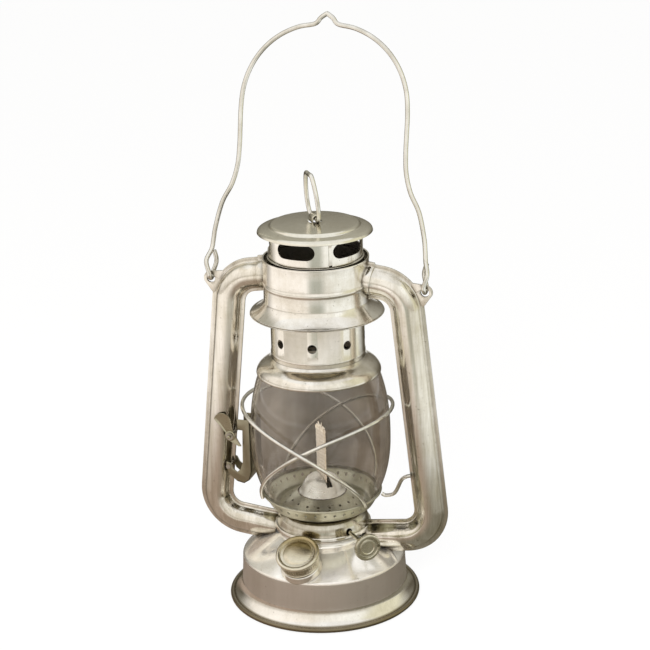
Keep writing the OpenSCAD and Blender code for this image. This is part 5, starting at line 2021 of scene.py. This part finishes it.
@dataclass
class Studio:
    """Camera, floor, soft lamps and white surround. The cards and the clip are in metres."""

    camera_at: Place = (317.744, -977.914, 520.797)
    yaw: float = 17.7566
    pitch: float = 18.7706
    roll: float = 1.58
    lens: float = 102.633
    sensor: float = 36.0
    clip: Flat = (0.05, 50.0)
    white: tuple[float, ...] = (1.0, 1.0, 1.0, 1.0)
    daylight: tuple[float, ...] = (1.0, 0.985, 0.96, 1.0)
    daylight_strength: float = 0.85
    paper: tuple[float, ...] = (0.95, 0.945, 0.935, 1.0)
    paper_glow: float = 0.88
    table_r: float = 1.7
    glass_card_r: float = 0.9
    room_r: float = 1.5
    room_h: float = 2.0
    lamps: tuple[Lamp, ...] = (
        Lamp("key_lamp", (-0.75, -0.9, 1.35), 1.8, 0.8),
        Lamp("fill_lamp", (1.1, -0.7, 0.9), 1.0, 0.3),
        Lamp("wick_lamp", (0.2, -1.2, 0.7), 0.6, 22.0, False),
    )

    def camera(self) -> None:
        """Camera at the photograph's angle."""
        yaw, pitch, roll = (math.radians(a) for a in (self.yaw, self.pitch, self.roll))
        ahead = Vector((-math.sin(yaw) * math.cos(pitch), math.cos(yaw) * math.cos(pitch), -math.sin(pitch)))
        level = Vector((math.cos(yaw), math.sin(yaw), 0))
        above = level.cross(ahead)
        right = level * math.cos(roll) - above * math.sin(roll)
        up = level * math.sin(roll) + above * math.cos(roll)
        turn = Matrix((right, up, -ahead)).transposed().to_4x4()
        bpy.ops.object.camera_add()
        camera = bpy.context.object
        camera.matrix_world = shifted(*self.camera_at) @ turn
        camera.data.lens = self.lens
        camera.data.sensor_width = self.sensor
        camera.data.clip_start, camera.data.clip_end = self.clip
        bpy.context.scene.camera = camera

    @staticmethod
    def seen(graph: Graph) -> Socket:
        """Mask of the rays that show the background: from the camera, off metal and through glass.

        Args:
            graph: the graph of the world or the floor.

        Returns:
            The mask's socket.
        """
        path = graph.add("LightPath").outputs
        bright = graph.math("MAXIMUM", path["Is Camera Ray"], path["Is Glossy Ray"])
        return graph.math("MAXIMUM", bright, path["Is Transmission Ray"])

    def surround(self) -> None:
        """White to the eye, softer as light."""
        world = bpy.data.worlds.new("studio")
        world.use_nodes = True
        bpy.context.scene.world = world
        graph = Graph(world.node_tree)
        shown = graph.add("Background", {"Color": self.white, "Strength": 1.0})
        light = graph.add("Background", {"Color": self.daylight, "Strength": self.daylight_strength})
        mixed = graph.add("MixShader", {0: self.seen(graph), 1: light.outputs[0], 2: shown.outputs[0]})
        graph.add("OutputWorld", {"Surface": mixed.outputs[0]})

    def floor_surface(self, graph: Graph) -> Socket:
        """Pale paper that glows to the eye and keeps the shadow.

        Args:
            graph: the floor's graph.

        Returns:
            The shader's socket.
        """
        paper = graph.add("BsdfDiffuse", {"Color": self.paper}).outputs[0]
        glow = graph.add("Emission", {"Color": self.white, "Strength": 1.0}).outputs[0]
        share = graph.math("MULTIPLY", self.seen(graph), self.paper_glow)
        return graph.add("MixShader", {0: share, 1: paper, 2: glow}).outputs[0]

    def floor(self) -> None:
        """Pale floor under the lantern."""
        bpy.ops.mesh.primitive_plane_add(size=8, location=(0, 0, -0.001))
        floor = Bench.named("floor")
        floor.data.materials.append(new_material("floor_paper", self.floor_surface))

    def bearings(self, graph: Graph) -> list[Socket]:
        """How far a place on a card is behind the lantern and how far to the right of it, from -1 to 1.

        Args:
            graph: the card's graph.

        Returns:
            The two sockets.
        """
        way = graph.vector("NORMALIZE", graph.vector("MULTIPLY", graph.spot(), (1.0, 1.0, 0.0)))
        across, along = math.cos(math.radians(self.yaw)), math.sin(math.radians(self.yaw))
        return [graph.vector("DOT_PRODUCT", way, to) for to in ((-along, across, 0.0), (across, along, 0.0))]

    def ground_tones(self, graph: Graph) -> Socket:
        """Colours on the floor that bright metal reflects: a brown table, paler further out and dark behind.

        Args:
            graph: the card's graph.

        Returns:
            The colour's socket.
        """
        reach = graph.vector("LENGTH", graph.spot())
        along, across = self.bearings(graph)
        near = graph.spread(reach, 0.2, 0.5, 1.0, 0.0)
        straight = graph.spread(along, 0.93, 0.985, 1.0, 0.3)
        back = graph.math("MULTIPLY", graph.spread(along, 0.32, 0.74), straight)
        ahead = graph.spread(along, -0.99, -0.93, 1.0, 0.0)
        front = graph.math("MULTIPLY", ahead, graph.spread(reach, 0.3, 0.6))
        side = graph.spread(across, -0.6, 0.6)
        table = graph.blend(side, (0.42, 0.335, 0.27), (0.23, 0.214, 0.167))
        colour = graph.blend(near, graph.blend(side, (1.12, 1.06, 1.0), (1.0, 1.01, 0.97)), table)
        colour = graph.blend(front, colour, (0.5, 0.51, 0.45))
        return graph.blend(back, colour, (0.1, 0.085, 0.06))

    def glass_tones(self, graph: Graph) -> Socket:
        """Brown-grey tones of a table top that shows through the globe.

        Args:
            graph: the card's graph.

        Returns:
            The colour's socket.
        """
        patches = graph.effect(tarnish_patches, Scale=9.0, Low=0.35, High=0.65)
        tones = graph.blend(patches, (0.13, 0.108, 0.083), (0.31, 0.275, 0.23))
        side = graph.spread(graph.math("ABSOLUTE", self.bearings(graph)[1]), 0.03, 0.14)
        return graph.blend(1.0, tones, graph.blend(side, (0.7, 0.7, 0.67), (1.16, 1.13, 1.1)), "MULTIPLY")

    def room_tones(self, graph: Graph) -> Socket:
        """Room round the lantern: dim low down, bright above, and an olive-grey wall behind.

        Args:
            graph: the card's graph.

        Returns:
            The colour's socket.
        """
        height = graph.height()
        along, across = self.bearings(graph)
        wall = graph.blend(graph.spread(height, 0.05, 1.1), (0.11, 0.095, 0.068), (0.46, 0.445, 0.385))
        bright = graph.blend(graph.spread(across, -0.7, 0.7), (1.06, 1.01, 0.95), (1.0, 1.01, 0.98))
        room = graph.blend(graph.spread(height, 0.0, 0.45), (0.55, 0.5, 0.43), bright)
        tinged = graph.blend(graph.spread(across, 0.78, 0.94), room, (0.84, 0.815, 0.64))
        return graph.blend(graph.spread(along, 0.3, 0.66), tinged, wall)

    @staticmethod
    def card(name: str, piece: Piece, tones: Callable[[Graph], Socket], through: bool) -> None:
        """Make a stage card that only reflections or only the glass can see.

        Args:
            name: the card's name.
            piece: its mesh.
            tones: draws its colour in a graph.
            through: whether it shows through glass, and not in reflections.
        """

        def glow(graph: Graph) -> Socket:
            """Plain glow in the card's colours."""
            return graph.add("Emission", {"Color": tones(graph), "Strength": 1.0}).outputs[0]

        piece.name = name
        piece.data.materials.append(new_material(name + "_tones", glow))
        for hidden in ("camera", "shadow", "diffuse"):
            setattr(piece, "visible_" + hidden, False)
        piece.visible_transmission = through
        piece.visible_glossy = not through

    def cards(self) -> None:
        """Table tones under the lantern and room tones round it."""
        add_disc = bpy.ops.mesh.primitive_circle_add
        add_disc(vertices=96, radius=self.table_r, fill_type="NGON", location=(0, 0, -0.0004))
        self.card("table_card", bpy.context.object, self.ground_tones, False)
        add_disc(vertices=64, radius=self.glass_card_r, fill_type="NGON", location=(0, 0, -0.0002))
        self.card("glass_card", bpy.context.object, self.glass_tones, True)
        wall = {"radius": self.room_r, "depth": self.room_h, "end_fill_type": "NOTHING"}
        bpy.ops.mesh.primitive_cylinder_add(vertices=96, **wall)
        ring = Bench.place(bpy.context.object, Matrix.Translation((0, 0, self.room_h / 2)))
        self.card("room_card", ring, self.room_tones, False)

    def build(self) -> None:
        """Set up the studio in order."""
        Bench.clear()
        for make in (self.camera, self.surround, self.floor, self.cards):
            make()
        for lamp in self.lamps:
            lamp.hang()
        bpy.context.scene.view_settings.view_transform = "Standard"


def main() -> None:
    """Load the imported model, set up the studio, and build the sub-assemblies in order."""
    logging.basicConfig(level=logging.INFO, format="%(name)s: %(message)s")
    bpy.ops.object.select_all(action="SELECT")
    bpy.ops.object.delete()
    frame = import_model()
    Studio().build()
    tank, filler = Tank(), Filler()
    tank.foot()
    tank.drum(filler.mouth())
    filler.neck()
    filler.cap()
    for assembly in (SideTubes(), Hood(), Burner(), GlobeCarrier(), LiftLever(), Chimney(), Bail()):
        assembly.build()
    Carried().dress(frame["nodes"])
    Bench.clear()


if __name__ == "__main__":
    main()
